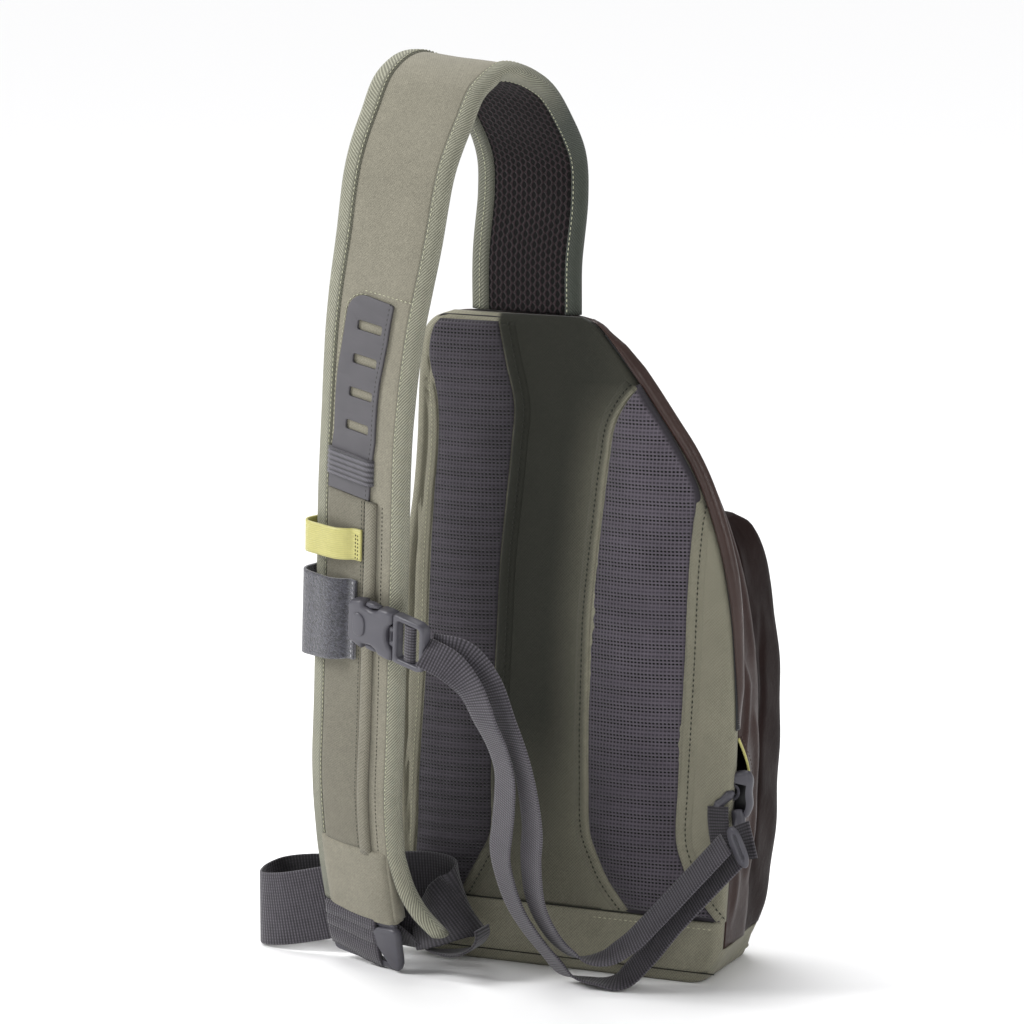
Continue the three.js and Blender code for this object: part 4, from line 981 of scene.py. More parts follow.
dock_end = DOCK_START + DOCK_LENGTH
sway = np.array([0, -0.3, 0.2, 1.2, 0.2, -0.6, -0.8, 0, 0.6, 0.2, 0])
dock_t = np.linspace(0, 1, len(sway))
right_side = [(dock_lean(t) + s, DOCK_START + t * DOCK_LENGTH) for t, s in zip(dock_t, sway)]
left_t = dock_t[dock_t < 0.88]
left_side = [(dock_lean(t) - DOCK_WIDTH + s, DOCK_START + t * DOCK_LENGTH) for t, s in zip(left_t, sway)]
arc = [(dock_lean(1) - DOCK_WIDTH + 14 - 14 * math.cos(a), dock_end - 13 + 14 * math.sin(a))
       for a in np.linspace(0.2, math.pi / 2, 8)]
top_corner = [(dock_lean(1) - 0.2, dock_end - 1.6), (dock_lean(1) - 0.9, dock_end - 0.3),
              (dock_lean(1) - 2.4, dock_end + 0.3)]
dock_outline = right_side[:-1] + top_corner + arc[::-1] + left_side[::-1]
dock_slots = []
for k in range(4):
    middle = DOCK_LENGTH - 18.2 - k * SLOT_PITCH
    centre = dock_lean(middle / DOCK_LENGTH) - 15.1
    dock_slots.append(oval(centre - SLOT_LENGTH / 2, centre + SLOT_LENGTH / 2,
                           DOCK_START + middle - SLOT_HEIGHT / 2, DOCK_START + middle + SLOT_HEIGHT / 2, 1.6))
strap_plate("tool_dock_panel", dock_outline, dock_slots, FACE, 2.0, 0.5, slate, slot="slate_panel",
            replaces=["tool_dock"])

ELASTIC_FROM, ELASTIC_TO = DOCK_START + 10.2, DOCK_START + 27.2


def elastic_section(length):
    lift = 0.55 * math.cos((length - ELASTIC_FROM) * 2 * math.pi / 3.4)
    s = np.linspace(DOCK_RIGHT - 37.4, DOCK_RIGHT + 2.6, 13)
    near = np.clip(np.minimum(s - s[0], s[-1] - s) / 1.5, 0, 1)
    top = FACE + 1.6 + 2.0 * np.sqrt(np.clip(1 - (1 - near) ** 2, 0, 1)) + lift
    return np.concatenate([np.stack([s, top], axis=1), np.stack([s[::-1], np.full(13, FACE)], axis=1)])


swept("dock_elastic_band", strap, wide_steps(ELASTIC_FROM, ELASTIC_TO, 0.7), elastic_section, elastic,
      slot="webbing", replaces=["dock_elastic"])

dock_edge = np.array(left_side + arc)
dock_row = smooth_line(dock_edge - [2.2, 0], 60)
top_row = np.array([(dock_lean(1) - 24, dock_end + 3.5), (dock_lean(1) - 8, dock_end + 4.2), (29, dock_end + 4.8)])
top_row = smooth_line(top_row, 14)
right_row = smooth_line(np.array(right_side) - [2.6, 0], 50)


def strap_chain(line, height):
    low = strap.point(line[:, 1], line[:, 0], np.full(len(line), height))
    high = strap.point(line[:, 1], line[:, 0], np.full(len(line), height + 1))
    return low, unit(high - low)


stitches("dock_thread", [strap_chain(right_row, FACE + 1.95)], olive_thread,
         pitch=3.2, length=2.1, width=0.6, height=0.4)
stitches("strap_sage_stitches", [strap_chain(dock_row, FACE + 0.1), strap_chain(top_row, FACE)],
         sage_thread, pitch=3.2, length=2.2, width=0.7, height=0.5)
stitches("strap_dark_stitches", [
    strap_row(POCKET_RIGHT - 1.2, HEM, POCKET_TOP, FACE + 1.5),
    strap_row(POCKET_RIGHT - 3.4, HEM, POCKET_TOP, FACE + 1.7),
    strap_row(21.8, HEM + 4, POCKET_TOP, FACE - 0.3),
], olive_thread, pitch=3.0, length=1.9, width=0.6, height=0.4)


# ---- Bands that stand off the strap

def standing_band(name, start, end, right, stand, thick, slant, lean, material, slot, node):
    low = STRAP_FACE + 2 + 0.6
    edge = -STRAP_HALF - 0.3
    bend = right - 7
    line = smooth_line([
        (right, low), (bend, low), (bend - 5, low + stand * 0.55), (bend - 12, low + stand),
        (right + (edge - right) * 0.7, low + stand), (edge + 2, low + stand * 0.8),
        (edge, low + stand * 0.25), (edge, 0)], 40)
    way = unit(np.gradient(line, axis=0))
    outer = line + np.stack([way[:, 1], -way[:, 0]], axis=1) * thick
    rows = int((end - start) / 1.5)
    share = np.linspace(1, 0, len(line))
    rings = []
    for i in range(len(line)):
        first = start + slant * (1 - share[i])
        lengths = np.linspace(first, end + lean * (1 - share[i]), rows)
        inside = strap.point(lengths, np.full(rows, line[i, 0]), np.full(rows, line[i, 1]))
        outside = strap.point(lengths, np.full(rows, outer[i, 0]), np.full(rows, outer[i, 1]))
        rings.append(np.concatenate([inside, outside[::-1]]))
    run = np.concatenate([[0], np.cumsum(np.linalg.norm(np.diff(line, axis=0), axis=1))])
    across = np.linspace(start, end, rows)
    return loft(name, rings, material, u=np.concatenate([across, across[::-1]]), v=run,
                slot=slot, replaces=[node])


PATCH_FROM = HEM + 258 * 0.56
PATCH_TO = PATCH_FROM + 56
TAB_FROM = PATCH_TO + 22 * 0.7
standing_band("loop_ribbon", TAB_FROM, TAB_FROM + 22, 7.5, 5, 1.4, -8.0, -8.0, lime,
              "lime_webbing", "loop_tab")
standing_band("pile_band", PATCH_FROM, PATCH_TO, 4.0, 6, 1.8, -11.2, -5.0, pile, "pile", "pile_patch")
band_top = STRAP_FACE + 2.6 + 0.1
stitches("band_stitches", [
    strap_row(1.2, PATCH_FROM + 2, PATCH_TO - 1, band_top + 1.7)],
    pale_thread, pitch=3.4, length=2.4, width=0.8, height=0.6)
stitches("tab_stitches", [
    strap_row(4.6, TAB_FROM + 1, TAB_FROM + 21, band_top + 1.3),
    strap_row(2.6, TAB_FROM + 1, TAB_FROM + 21, band_top + 1.3)],
    olive_thread, pitch=2.6, length=1.7, width=0.6, height=0.5)


# ---- Webbing

def ribbon_track(places, leans, steady):
    leans = spread(leans)

    def across(t, along):
        lean = radians(column(leans, 1, t))[:, None]
        side = unit(np.cross(along, np.broadcast_to(steady, along.shape)))
        return steady * np.cos(lean) + side * np.sin(lean)
    return Track(places, across)


def ribbon_section(width, thick):
    half, soft = width / 2, thick / 2
    turns = np.linspace(-math.pi / 2, math.pi / 2, 5)
    right = [(half - soft + soft * math.cos(a), soft * math.sin(a)) for a in turns]
    top = [(x, soft) for x in np.linspace(half - soft, -half + soft, 9)[1:-1]]
    left = [(-half + soft - soft * math.cos(a), -soft * math.sin(a)) for a in turns]
    low = [(x, -soft) for x in np.linspace(-half + soft, half - soft, 9)[1:-1]]
    return np.array(right + top + left + low)


def strip_u(section):
    return section[:, 0]


buckle_at = PATCH_FROM + 56 * 0.6
BUCKLE_SIDE = 6.63
BUCKLE_LIFT = STRAP_FACE + 4 + 0.6 + 5


def strap_spot(length, side, height):
    return strap.point(np.array([length]), np.array([side]), np.array([height]))[0]


def spot_axes(length):
    origin = strap_spot(length, 0, 0)
    across = unit(strap_spot(length, 1, 0) - origin)
    out = unit(strap_spot(length, 0, 1) - origin)
    return across, np.cross(out, across), out


def narrow_start(height):
    return strap_spot(buckle_at, BUCKLE_SIDE + 66 + 0.6, BUCKLE_LIFT + height)


glide_place = np.array([128.0, -66.0, 102.0])
glide_across = unit(np.array([0.55, -0.76, -0.33]))
run = np.array([0.6, 0.1, 0.78])
glide_along = unit(run - glide_across * run.dot(glide_across))
glide_out = np.cross(glide_along, glide_across)


def narrow_finish(height):
    return glide_place + glide_out * height - glide_along * 2.1


def narrow_track(rows, start, finish):
    places = start + (finish - start) * rows[:, [0, 1, 1]]
    rise = np.where(rows[:, 4] > 0, finish[2], start[2])
    places[:, 2] = 3.2 + (rise - 3.2) * rows[:, 2]
    plan = radians(60)
    return ribbon_track(places, rows[:, 3], np.array([math.sin(plan), -math.cos(plan), 0.0]))


strip = ribbon_section(NARROW * 0.82, WEBBING)
for name, rows, apart, gap in (("near", NEAR, 3.4, 7), ("far", FAR, -3.4, -7)):
    track = narrow_track(rows, narrow_start(apart), narrow_finish(gap))
    swept(f"narrow_strand_{name}", track, wide_steps(0, track.length, 2.0), strip, webbing,
          u=strip_u(strip), slot="webbing", replaces=[f"narrow_webbing_{name}"])

waist_places = np.stack([WAIST[:, 0] * HALF_WIDTH, WAIST[:, 1] * BACK, WAIST[:, 2] * WIDE], axis=1)
waist = ribbon_track(waist_places, WAIST[:, 3], np.array([0.0, 0.0, 1.0]))
band = ribbon_section(WIDE, WEBBING)


def waist_section(length):
    """The wide band, gathered at its lower edge where it runs under the plate."""
    points = band.copy()
    gather = np.clip((length - waist.length + 46) / 46, 0, 1)
    points[:, 0] = np.where(points[:, 0] < 0, points[:, 0] * (1 - 0.5 * gather), points[:, 0])
    return points


strand = swept("waist_strand", waist, wide_steps(0, waist.length, 2.0), waist_section, waist_webbing, u=strip_u(band),
               slot="webbing", replaces=["waist_webbing"])
x, y, z = coordinates(strand).T / MM
# Painted shade on the waist strand: darker on its far layer, on its inner side and toward its right.
far = np.clip((y + 58) / 10, 0, 1)
inner = np.clip((x + 128) / 12, 0, 1) * np.clip((y + 92) / 8, 0, 1)
right = np.clip((x + 104) / 14, 0, 1) * 0.6
give_tone(strand, "tone", 1 - 0.72 * np.maximum(np.maximum(far, inner * 0.85), right))

# The same webbing turns back under itself, seen on its edge
back_places = np.array([(-40, -96, 36), (-39.6, -96, 30), (-45, -95, 22.4), (-56, -94, 17), (-71, -93, 15.8),
                        (-84, -93, 17.6), (-97, -96, 23), (-107, -99, 28), (-114, -101, 31)])
back_run = ribbon_track(back_places, np.array([0, 0, 0, 0, 8, 24, 48, 62, 66]), np.array([0.0, -1.0, 0.0]))
fold_band = ribbon_section(22, WEBBING)
swept("waist_return", back_run, wide_steps(0, back_run.length, 2.0), fold_band, shaded_webbing, u=strip_u(fold_band),
      slot="webbing")
under = Track([(-124, -92, 36), (-104, -90, 33), (-84, -90, 31)], lambda t, along: np.broadcast_to([0.0, 0.0, 1.0], along.shape))
swept("waist_under", under, wide_steps(0, under.length, 2.0), fold_band, shaded_webbing, u=strip_u(fold_band),
      slot="webbing")


# ---- Back of the pack

def outline(name, up):
    return column(BODY, name, up)


def left_soft(z):
    """How far the cloth of the left side stands out of the body's outline, more at its foot."""
    t = np.clip((245 - z) / 60, 0, 1)
    return 2.0 + 3.6 * t * t * (3 - 2 * t)


def pad_edges(table, up):
    """Left and right edge of a pad at a height, and how far the height is inside it."""
    inside = (up >= table[0, 0]) & (up <= table[-1, 0])
    return column(table, 1, up) * HALF_WIDTH, column(table, 2, up) * HALF_WIDTH, inside


def pad_distance(table, x, z):
    """Distance to a pad's edge, negative inside it."""
    up = z / PACK_HEIGHT
    left, right, _ = pad_edges(table, np.clip(up, table[0, 0], table[-1, 0]))
    sideways = np.maximum(left - x, x - right)
    over = np.maximum(table[0, 0] * PACK_HEIGHT - z, z - table[-1, 0] * PACK_HEIGHT)
    return np.where(over > 0, np.hypot(over, np.maximum(sideways, 0)), np.maximum(sideways, over))


def back_height(x, z):
    """How far the cloth of the back stands out of its board."""
    near = np.minimum(pad_distance(LEFT_PAD, x, z), pad_distance(RIGHT_PAD, x, z))
    swell = 3.0 * np.exp(-np.maximum(near, 0) / 12)
    left, right = outline(1, z / PACK_HEIGHT) * HALF_WIDTH - left_soft(z), outline(2, z / PACK_HEIGHT) * HALF_WIDTH
    edge = x - left
    welt = 1.5 * bump(edge, 4.0, 3.4) - 2.4 * bump(edge, 8.4, 1.2) + 0.8 * bump(edge, 12, 3)
    welt = welt * np.clip((z - BAND_HEIGHT) / 8, 0, 1) * np.clip((405 - z) / 14, 0, 1)
    fade = np.clip((x - left) / 6, 0, 1) * np.clip((right - x) / 4, 0, 1)
    low = np.clip((z - BAND_HEIGHT) / 12, 0, 1)
    soft = 0.35 * np.sin(x / 21 + z / 37) + 0.25 * np.sin(z / 16 - x / 33)
    return (swell * fade + soft * 0.6) * low ** 0.5 + welt


def back_painted_shade(x, z):
    """Painted shade on the cloth of the hollow between the pads: darkest at its left, with painted light toward its
    right and lighter toward its foot.
    """
    up = np.clip(z / PACK_HEIGHT, 0.11, 0.99)
    left = column(LEFT_PAD, 2, up) * HALF_WIDTH
    right = np.where(up > 0.9, 60.0, column(RIGHT_PAD, 1, np.minimum(up, 0.9)) * HALF_WIDTH)
    share = (x - left) / np.maximum(right - left, 1)
    foot = 0.05 + 0.5 * np.clip((175 - z) / 130, 0, 1) ** 1.4
    bright = 0.36 * np.clip((share - 0.5) / 0.5, 0, 1) ** 1.5 * np.clip((430 - z) / 90, 0.35, 1)
    inside = np.clip((x - left + 5) / 3, 0, 1) * np.clip((right + 2 - x) / 3, 0, 1)
    return 1 - inside * (1 - np.minimum(foot + bright, 1))


def back_cloth():
    zs = np.concatenate([wide_steps(BAND_HEIGHT + 0.4, 432, 2.4), [434, 436, 438, 439.3, 440]])
    columns = 190
    s = np.linspace(0, 1, columns)
    rings = []
    for z in zs:
        up = z / PACK_HEIGHT
        left, right = float(outline(1, up)) * HALF_WIDTH - left_soft(z), float(outline(2, up)) * HALF_WIDTH
        x = left + (right - left) * s
        edge = np.minimum(x - left, right - x)
        crest = np.clip((PACK_HEIGHT - z) / 5, 0, 1) ** 0.5
        rise = np.sqrt(np.clip(1 - (1 - np.clip(edge / 2.5, 0, 1)) ** 2, 0, 1))
        y = BACK + 2 - (2 + back_height(x, np.full(columns, z))) * rise * crest
        face = np.stack([x, y, np.full(columns, z)], axis=1)
        inner = np.stack([np.linspace(right, left, 12), np.full(12, BACK + PANEL_THICK - 0.2),
                          np.full(12, z)], axis=1)
        rings.append(np.concatenate([face, inner]))
    piece = loft("back_cloth", rings, olive_cloth, slot="olive_cloth", replaces=["back_panel"])
    x, y, z = coordinates(piece).T / MM
    # Painted shade of the hollow between the pads, held in the tone attribute.
    give_tone(piece, "tone", back_painted_shade(x, z))


back_cloth()


def pad_body(name, table, node, pad_mesh):
    """Pad of mesh over foam: a closed form, sewn down at its rim and swollen as cloth, then ribbed."""
    first, last = table[0, 0] * PACK_HEIGHT, table[-1, 0] * PACK_HEIGHT
    zs = np.concatenate([[first, first + 1.5], wide_steps(first + 4, last - 4, 4.0), [last - 1.5, last]])
    columns = 23
    s = np.linspace(0, 1, columns)
    rings = []
    for z in zs:
        left, right, _ = pad_edges(table, z / PACK_HEIGHT)
        top = min(1.0, (last - z) / 16)
        foot = min(1.0, (z - first + 9) / 16)
        tall = 5.4 * math.sqrt(1 - (1 - top) ** 2) * math.sqrt(1 - (1 - foot) ** 2)
        rise = tall * (1 - np.abs(2 * s - 1) ** 4)
        x = left + (right - left) * s
        face = np.stack([x, PAD_SEAT - 1.6 - rise, np.full(columns, z)], axis=1)
        seat = np.stack([x[::-1], np.full(columns, PAD_SEAT + 1.5), np.full(columns, z)], axis=1)
        rings.append(np.concatenate([face, seat]))
    piece = loft(name, rings, pad_mesh, slot="spacer_mesh", replaces=[node])
    rows = len(zs)
    index = np.arange(rows * columns * 2).reshape(rows, columns * 2)
    free = index[1:-1, 1:columns - 1].ravel()
    sewn = np.setdiff1d(np.arange(len(piece.data.vertices)), free)
    swell_as_cloth(piece, sewn.tolist(), 3.6)
    finer = piece.modifiers.new("finer", "SUBSURF")
    finer.levels = finer.render_levels = 2
    apply_all(piece)
    x, y, z = coordinates(piece).T / MM
    front = np.clip((PAD_SEAT - y) / 5, 0, 1)
    near = -pad_distance(table, x, z)
    ribs = 0.45 * np.cos(z * 2 * math.pi / 10.5) * np.clip(near / 8, 0, 1)
    folds = 0.35 * np.sin(z / 7 + x / 13) * np.clip(1 - near / 14, 0, 1)
    y = np.maximum(y - (ribs + folds) * front, PAD_SEAT - 12.5)
    left, right, _ = pad_edges(table, np.clip(z / PACK_HEIGHT, table[0, 0], table[-1, 0]))
    share = (x - left) / np.maximum(right - left, 1)
    by_roll = np.clip((z / PACK_HEIGHT - 0.71) / 0.05, 0, 1) * (share > 0.6) if table is RIGHT_PAD else 0 * z
    y = np.maximum(y, PAD_SEAT - 1.2 - 1.4 * by_roll - np.maximum(near - 2.7 * (1 - by_roll), 0) * 2.6)
    # Painted shade: each pad darker on its side toward the hollow between the pads and toward its foot.
    side = np.clip((share - 0.5) / 0.5, 0, 1) if table is LEFT_PAD else np.clip((0.35 - share) / 0.35, 0, 1)
    give_tone(piece, "tone", 1 - 0.45 * side - 0.35 * np.clip((190 - z) / 130, 0, 1))
    set_coordinates(piece, np.stack([x, y, z], axis=1) * MM)
    # inner keeps the holes off the rim and paints shade along it.
    give_tone(piece, "inner", np.clip((near - 2.2) / 3, 0, 1))
    finish_mesh(piece, pad_mesh)
    return piece


def swell_as_cloth(piece, sewn, limit):
    """Cloth under pressure for 20 frames, held where it is sewn, no point moving further than limit."""
    start = coordinates(piece)
    piece.vertex_groups.new(name="sewn").add(sewn, 1.0, "REPLACE")
    cloth = piece.modifiers.new("cloth", "CLOTH")
    cloth.settings.vertex_group_mass = "sewn"
    cloth.settings.use_pressure = True
    cloth.settings.uniform_pressure_force = 4.0
    cloth.settings.effector_weights.gravity = 0.0
    scene = bpy.context.scene
    for step in range(1, 21):
        scene.frame_set(step)
    apply_all(piece)
    scene.frame_set(1)
    piece.vertex_groups.clear()
    move = coordinates(piece) - start
    far = np.linalg.norm(move, axis=1, keepdims=True)
    share = np.minimum(1, limit * MM / np.maximum(far, 1e-9))
    set_coordinates(piece, start + move * share)


pad_body("back_pad_left", LEFT_PAD, "mesh_pad_left", left_mesh)
pad_body("back_pad_right", RIGHT_PAD, "mesh_pad_right", right_mesh)


def back_row(points, lift):
    """Row of stitches on the back cloth through points (x, z)."""
    x, z = points.T
    return np.stack([x, BACK - back_height(x, z) - lift, z], axis=1), np.array([0.0, -1.0, 0.0])


def pad_line(table, which, low, high):
    """Edge of a pad as a smooth line of (x, z) between two heights, with its ways off the pad."""
    ups = np.linspace(low, high, 160)
    line = np.stack([column(table, which, ups) * HALF_WIDTH, ups * PACK_HEIGHT], axis=1)
    way = unit(np.gradient(line, axis=0))
    off = np.stack([way[:, 1], -way[:, 0]], axis=1) * (1 if which == 2 else -1)
    return line, off


FOLD = np.array([(-2.3, -1.8), (-2.4, 0.1), (-2.0, 0.6), (-1, 0.75), (1.6, 0.55), (4, 0.4), (6, 0.25), (8.6, -0.15),
                 (8.6, -1.4)])


def folded_edge(name, line, off):
    """Folded edge of the olive cloth, sewn down over a pad's rim."""
    rings = []
    for (x, z), way in zip(line, off):
        px, pz = x + way[0] * FOLD[:, 0], z + way[1] * FOLD[:, 0]
        px = np.clip(px, outline(1, z / PACK_HEIGHT) * HALF_WIDTH - left_soft(z) + 1.5,
                     outline(2, z / PACK_HEIGHT) * HALF_WIDTH - 0.6)
        height = back_height(x + way[0] * np.maximum(FOLD[:, 0], 0), z + way[1] * np.maximum(FOLD[:, 0], 0))
        rings.append(np.stack([px, BACK - height - FOLD[:, 1], pz], axis=1))
    piece = loft(name, rings, olive_cloth, slot="olive_cloth")
    x, y, z = coordinates(piece).T / MM
    # Painted shade of the hollow, a little darker, on the folded edge.
    give_tone(piece, "tone", np.clip(back_painted_shade(x, z) * 0.95, 0, 1))


rows = []
for table, which, low, high, name in (
        (LEFT_PAD, 2, 0.105, 0.985, "inner_left"), (RIGHT_PAD, 1, 0.105, 0.9, "inner_right"),
        (RIGHT_PAD, 2, 0.105, 0.738, "outer_right"), (LEFT_PAD, 1, 0.105, 0.93, "outer_left")):
    line, off = pad_line(table, which, low, high)
    folded_edge(f"folded_edge_{name}", line, off)
    if name != "outer_left":
        rows.append(back_row(line + off * 3.4, 0.62))
stitches("back_dark_stitches", rows, olive_thread, pitch=3.6, length=2.3, width=1.1, height=0.9)
line, off = pad_line(LEFT_PAD, 1, 0.105, 0.9)
stitches("back_sage_stitches", [back_row(line + off * 1.2, 1.1)], sage_thread,
         pitch=3.3, length=2.0, width=0.5, height=0.4)


# ---- Base

def ring_of(left, right, front, corner, rear, z, count, rear_corner=9.0, open_rear=False):
    """Horizontal ring of a body with round corners, from rear left round the front to rear right."""
    r = np.minimum(corner, (right - left) / 2.2)
    q = rear_corner
    line = []
    if open_rear:
        line.append((left, rear))
    else:
        for a in np.linspace(math.pi / 2, 0, 7):
            line.append((left + q - q * math.cos(a), rear + q - q * math.sin(a)))
    for a in np.linspace(0, math.pi / 2, 9):
        line.append((left + r - r * math.cos(a), front - r + r * math.sin(a)))
    for a in np.linspace(math.pi / 2, 0, 9):
        line.append((right - r + r * math.cos(a), front - r + r * math.sin(a)))
    if open_rear:
        line.append((right, rear))
    else:
        for a in np.linspace(0, math.pi / 2, 7):
            line.append((right - q + q * math.cos(a), rear + q - q * math.sin(a)))
    line = np.array(line)
    if not open_rear:
        line = np.vstack([line, line[0]])
    run = np.concatenate([[0], np.cumsum(np.linalg.norm(np.diff(line, axis=0), axis=1))])
    at = np.linspace(0, run[-1], count if open_rear else count + 1)
    if not open_rear:
        at = at[:-1]
    return np.stack([np.interp(at, run, line[:, 0]), np.interp(at, run, line[:, 1]),
                     np.full(len(at), z)], axis=1)


def base_cloth():
    zs = np.array([0, 0.6, 1.4, 2.6, 4, 5.6, 7, 7.8, 8.4, 9.2, 10.4, 12, 14, 16.5, 19, 21.5, 23.5, 24.6, 25])
    rings = []
    for z in zs:
        up = z / BASE_HEIGHT
        left, right = (float(column(TRAY, k, up)) * HALF_WIDTH for k in (1, 2))
        front = BACK + float(column(TRAY, 3, up)) * PACK_DEPTH
        rear = BACK + float(column(TRAY, 4, up)) * PACK_DEPTH
        corner = float(column(TRAY, 5, up)) * PACK_DEPTH
        pipe = 0.9 * bump(z, 7.9, 0.9) - 0.7 * bump(z, 6.4, 0.7)
        ring = ring_of(left - pipe, right + pipe, front + pipe, corner, rear - pipe, z, 220)
        tuck = 5.0 * np.clip((ring[:, 1] + 30) / 40, 0, 1) * min(1.0, z / 16)
        ring[:, 0] -= np.sign(ring[:, 0]) * tuck
        ring[:, 1] -= tuck * np.clip((ring[:, 1] - 20) / 20, 0, 1)
        rings.append(ring)
    return loft("base_cloth", rings, band_cloth, slot="olive_cloth", replaces=["base_tray"])


base_cloth()


def base_band():
    """Band of the base over the back, with its folded top edge."""
    zs = np.concatenate([wide_steps(9.5, 43, 1.5), [43.6, 44.2, 44.6]])
    columns = 90
    rings = []
    for z in zs:
        up = min(z / BASE_HEIGHT, 1)
        rear = BACK + float(column(TRAY, 4, up)) * PACK_DEPTH
        if z < BASE_HEIGHT:
            left, right = (float(column(TRAY, k, up)) * HALF_WIDTH for k in (1, 2))
        else:
            left, right = (float(outline(k, z / PACK_HEIGHT)) * HALF_WIDTH for k in (1, 2))
        left -= left_soft(z) * min(1.0, z / BAND_HEIGHT)
        s = np.linspace(0, 1, columns)
        x = left + 1 + (right - left - 2) * s
        edge = np.minimum(x - left, right - x)
        rise = np.sqrt(np.clip(1 - (1 - np.clip(edge / 8, 0, 1)) ** 2, 0, 1))
        top = 1 - 0.9 * float(np.clip((z - 43.2) / 1.4, 0, 1)) ** 2
        soft = 0.4 * np.sin(x / 27 + z / 9) + 0.3 * np.sin(x / 12)
        swell = (1.2 + soft * 0.5) * top - 0.5 * bump(z, 39.3, 0.8)
        y = rear + 6 - (6 + swell) * rise
        face = np.stack([x, y, np.full(columns, z)], axis=1)
        inner = np.stack([np.linspace(x[-1], x[0], 8), np.full(8, rear + 6.2), np.full(8, z)], axis=1)
        rings.append(np.concatenate([face, inner]))
    return loft("base_band", rings, band_cloth, slot="olive_cloth")


base_band()
# Painted shade: thin dark rods of thread colour along the band's top seam and the base seam, for the shade in their
# steps.
seam_x = np.linspace(-101, 107, 50)
for name, depth, up in (("band_seam", -1.3, 44.7), ("base_seam", 0.1, 8.9)):
    seam = Track(np.stack([seam_x, np.full(50, BACK + depth), np.full(50, up)], axis=1),
                 lambda t, along: np.broadcast_to([0.0, 1.0, 0.0], along.shape))
    turns = np.linspace(0, 2 * math.pi, 9)[:-1]
    swept(name, seam, wide_steps(0, seam.length, 5.0), np.stack([0.75 * np.cos(turns), 0.5 * np.sin(turns)], axis=1),
          olive_thread, slot="olive_cloth")
band_x = np.linspace(22, 104, 60)
stitches("base_stitches", [(
    np.stack([band_x, np.full(60, BACK - 1.25), np.full(60, 39.3)], axis=1), np.array([0.0, -1.0, 0.0]))],
    sage_thread, pitch=3.6, length=2.4, width=0.8, height=0.5)


# ---- Coated shell, pocket and rolled edge

def fold_ridges(y, z):
    """Soft folds of the coated cloth on the pack's right side, by depth and height."""
    lift = 0.0
    for points, width, tall in (
            ([(-36, 225), (-24, 200), (-30, 170), (-38, 152)], 4.0, 2.6),
            ([(-18, 190), (-10, 150), (-6, 110), (-14, 60)], 6.0, 2.8),
            ([(-30, 330), (-22, 280), (-14, 240), (-12, 205)], 6.0, 2.0),
            ([(-38, 95), (-30, 70), (-34, 35)], 5.0, 2.0)):
        line = np.array(points, float)
        order = np.argsort(line[:, 1])
        along = np.interp(z, line[order, 1], line[order, 0])
        ends = np.clip((z - line[:, 1].min()) / 18, 0, 1) * np.clip((line[:, 1].max() - z) / 18, 0, 1)
        lift = lift + tall * bump(y, along, width) * ends
    return lift


def shell_rear(z, right_side):
    """Depth at which the shell's rear edge lies: pulled forward at the side opening."""
    s = (z - OPENING_MIDDLE) / OPENING_HALF
    return SHELL_REAR + (OPENING_DEPTH * max(0.0, 1 - s * s) if right_side else 0.0)


def opening_bulge(y, z):
    """How far the cloth beside the opening stands out to the right."""
    s = (z - OPENING_MIDDLE + 4) / (OPENING_HALF + 8)
    return 6.5 * np.clip(1 - s * s, 0, 1) ** 1.5 * np.exp(-((y + 36) / 16) ** 2)


def shell_body():
    first = BASE_HEIGHT + 0.3
    zs = np.concatenate([wide_steps(first, 432, 3.0), [434, 436, 437.6, 438.8, 439.6, 440]])
    columns = 180
    rings = []
    for z in zs:
        up = z / PACK_HEIGHT
        left, right = float(outline(1, up)) * HALF_WIDTH - left_soft(z), float(outline(2, up)) * HALF_WIDTH
        front = BACK + float(outline(3, up)) * PACK_DEPTH
        corner = float(outline(4, up)) * PACK_DEPTH
        top = 1 - math.sqrt(max(0.0, 1 - max(0.0, (z - 432) / 8) ** 2))
        inset = 5 * top
        outer = ring_of(left + inset, right - inset, front - inset, corner, SHELL_REAR, z, columns,
                        open_rear=True)
        rear_right = shell_rear(z, True)
        x, y = outer[:, 0], outer[:, 1]
        moved = np.where(x > (left + right) / 2,
                         np.maximum(y, rear_right), y)
        lift = np.where(x > right - 30, fold_ridges(y, z), 0.0) * np.clip((y - rear_right) / 5, 0, 1)
        wave = 0.7 * np.sin(z / 19 + x / 31) + 0.5 * np.sin(z / 8.5 + y / 11 + x / 40)
        ways = ring_ways(outer)
        edge = np.clip((y - rear_right) / 14, 0, 1)
        outer[:, 1] = moved
        outer[:, 0] += np.where(x > 0, opening_bulge(y, z), 0.0)
        outer[:, :2] += ways * ((lift * 0.8 + wave * edge * 0.5 - 0.4)[:, None])
        wall = SHELL_WALL - 0.8 if z < 436 else 8.0
        inner = outer.copy()
        inner[:, :2] -= ways * wall
        rings.append(np.concatenate([outer, inner[::-1]]))
    return loft("shell_cloth", rings, bark, slot="coated_cloth", replaces=["main_shell"])


def ring_ways(ring):
    """Ways out of an open ring that runs from rear left round the front."""
    way = np.gradient(ring[:, :2], axis=0)
    way = way / np.maximum(np.linalg.norm(way, axis=1, keepdims=True), 1e-9)
    return np.stack([-way[:, 1], way[:, 0]], axis=1)


shell_body()


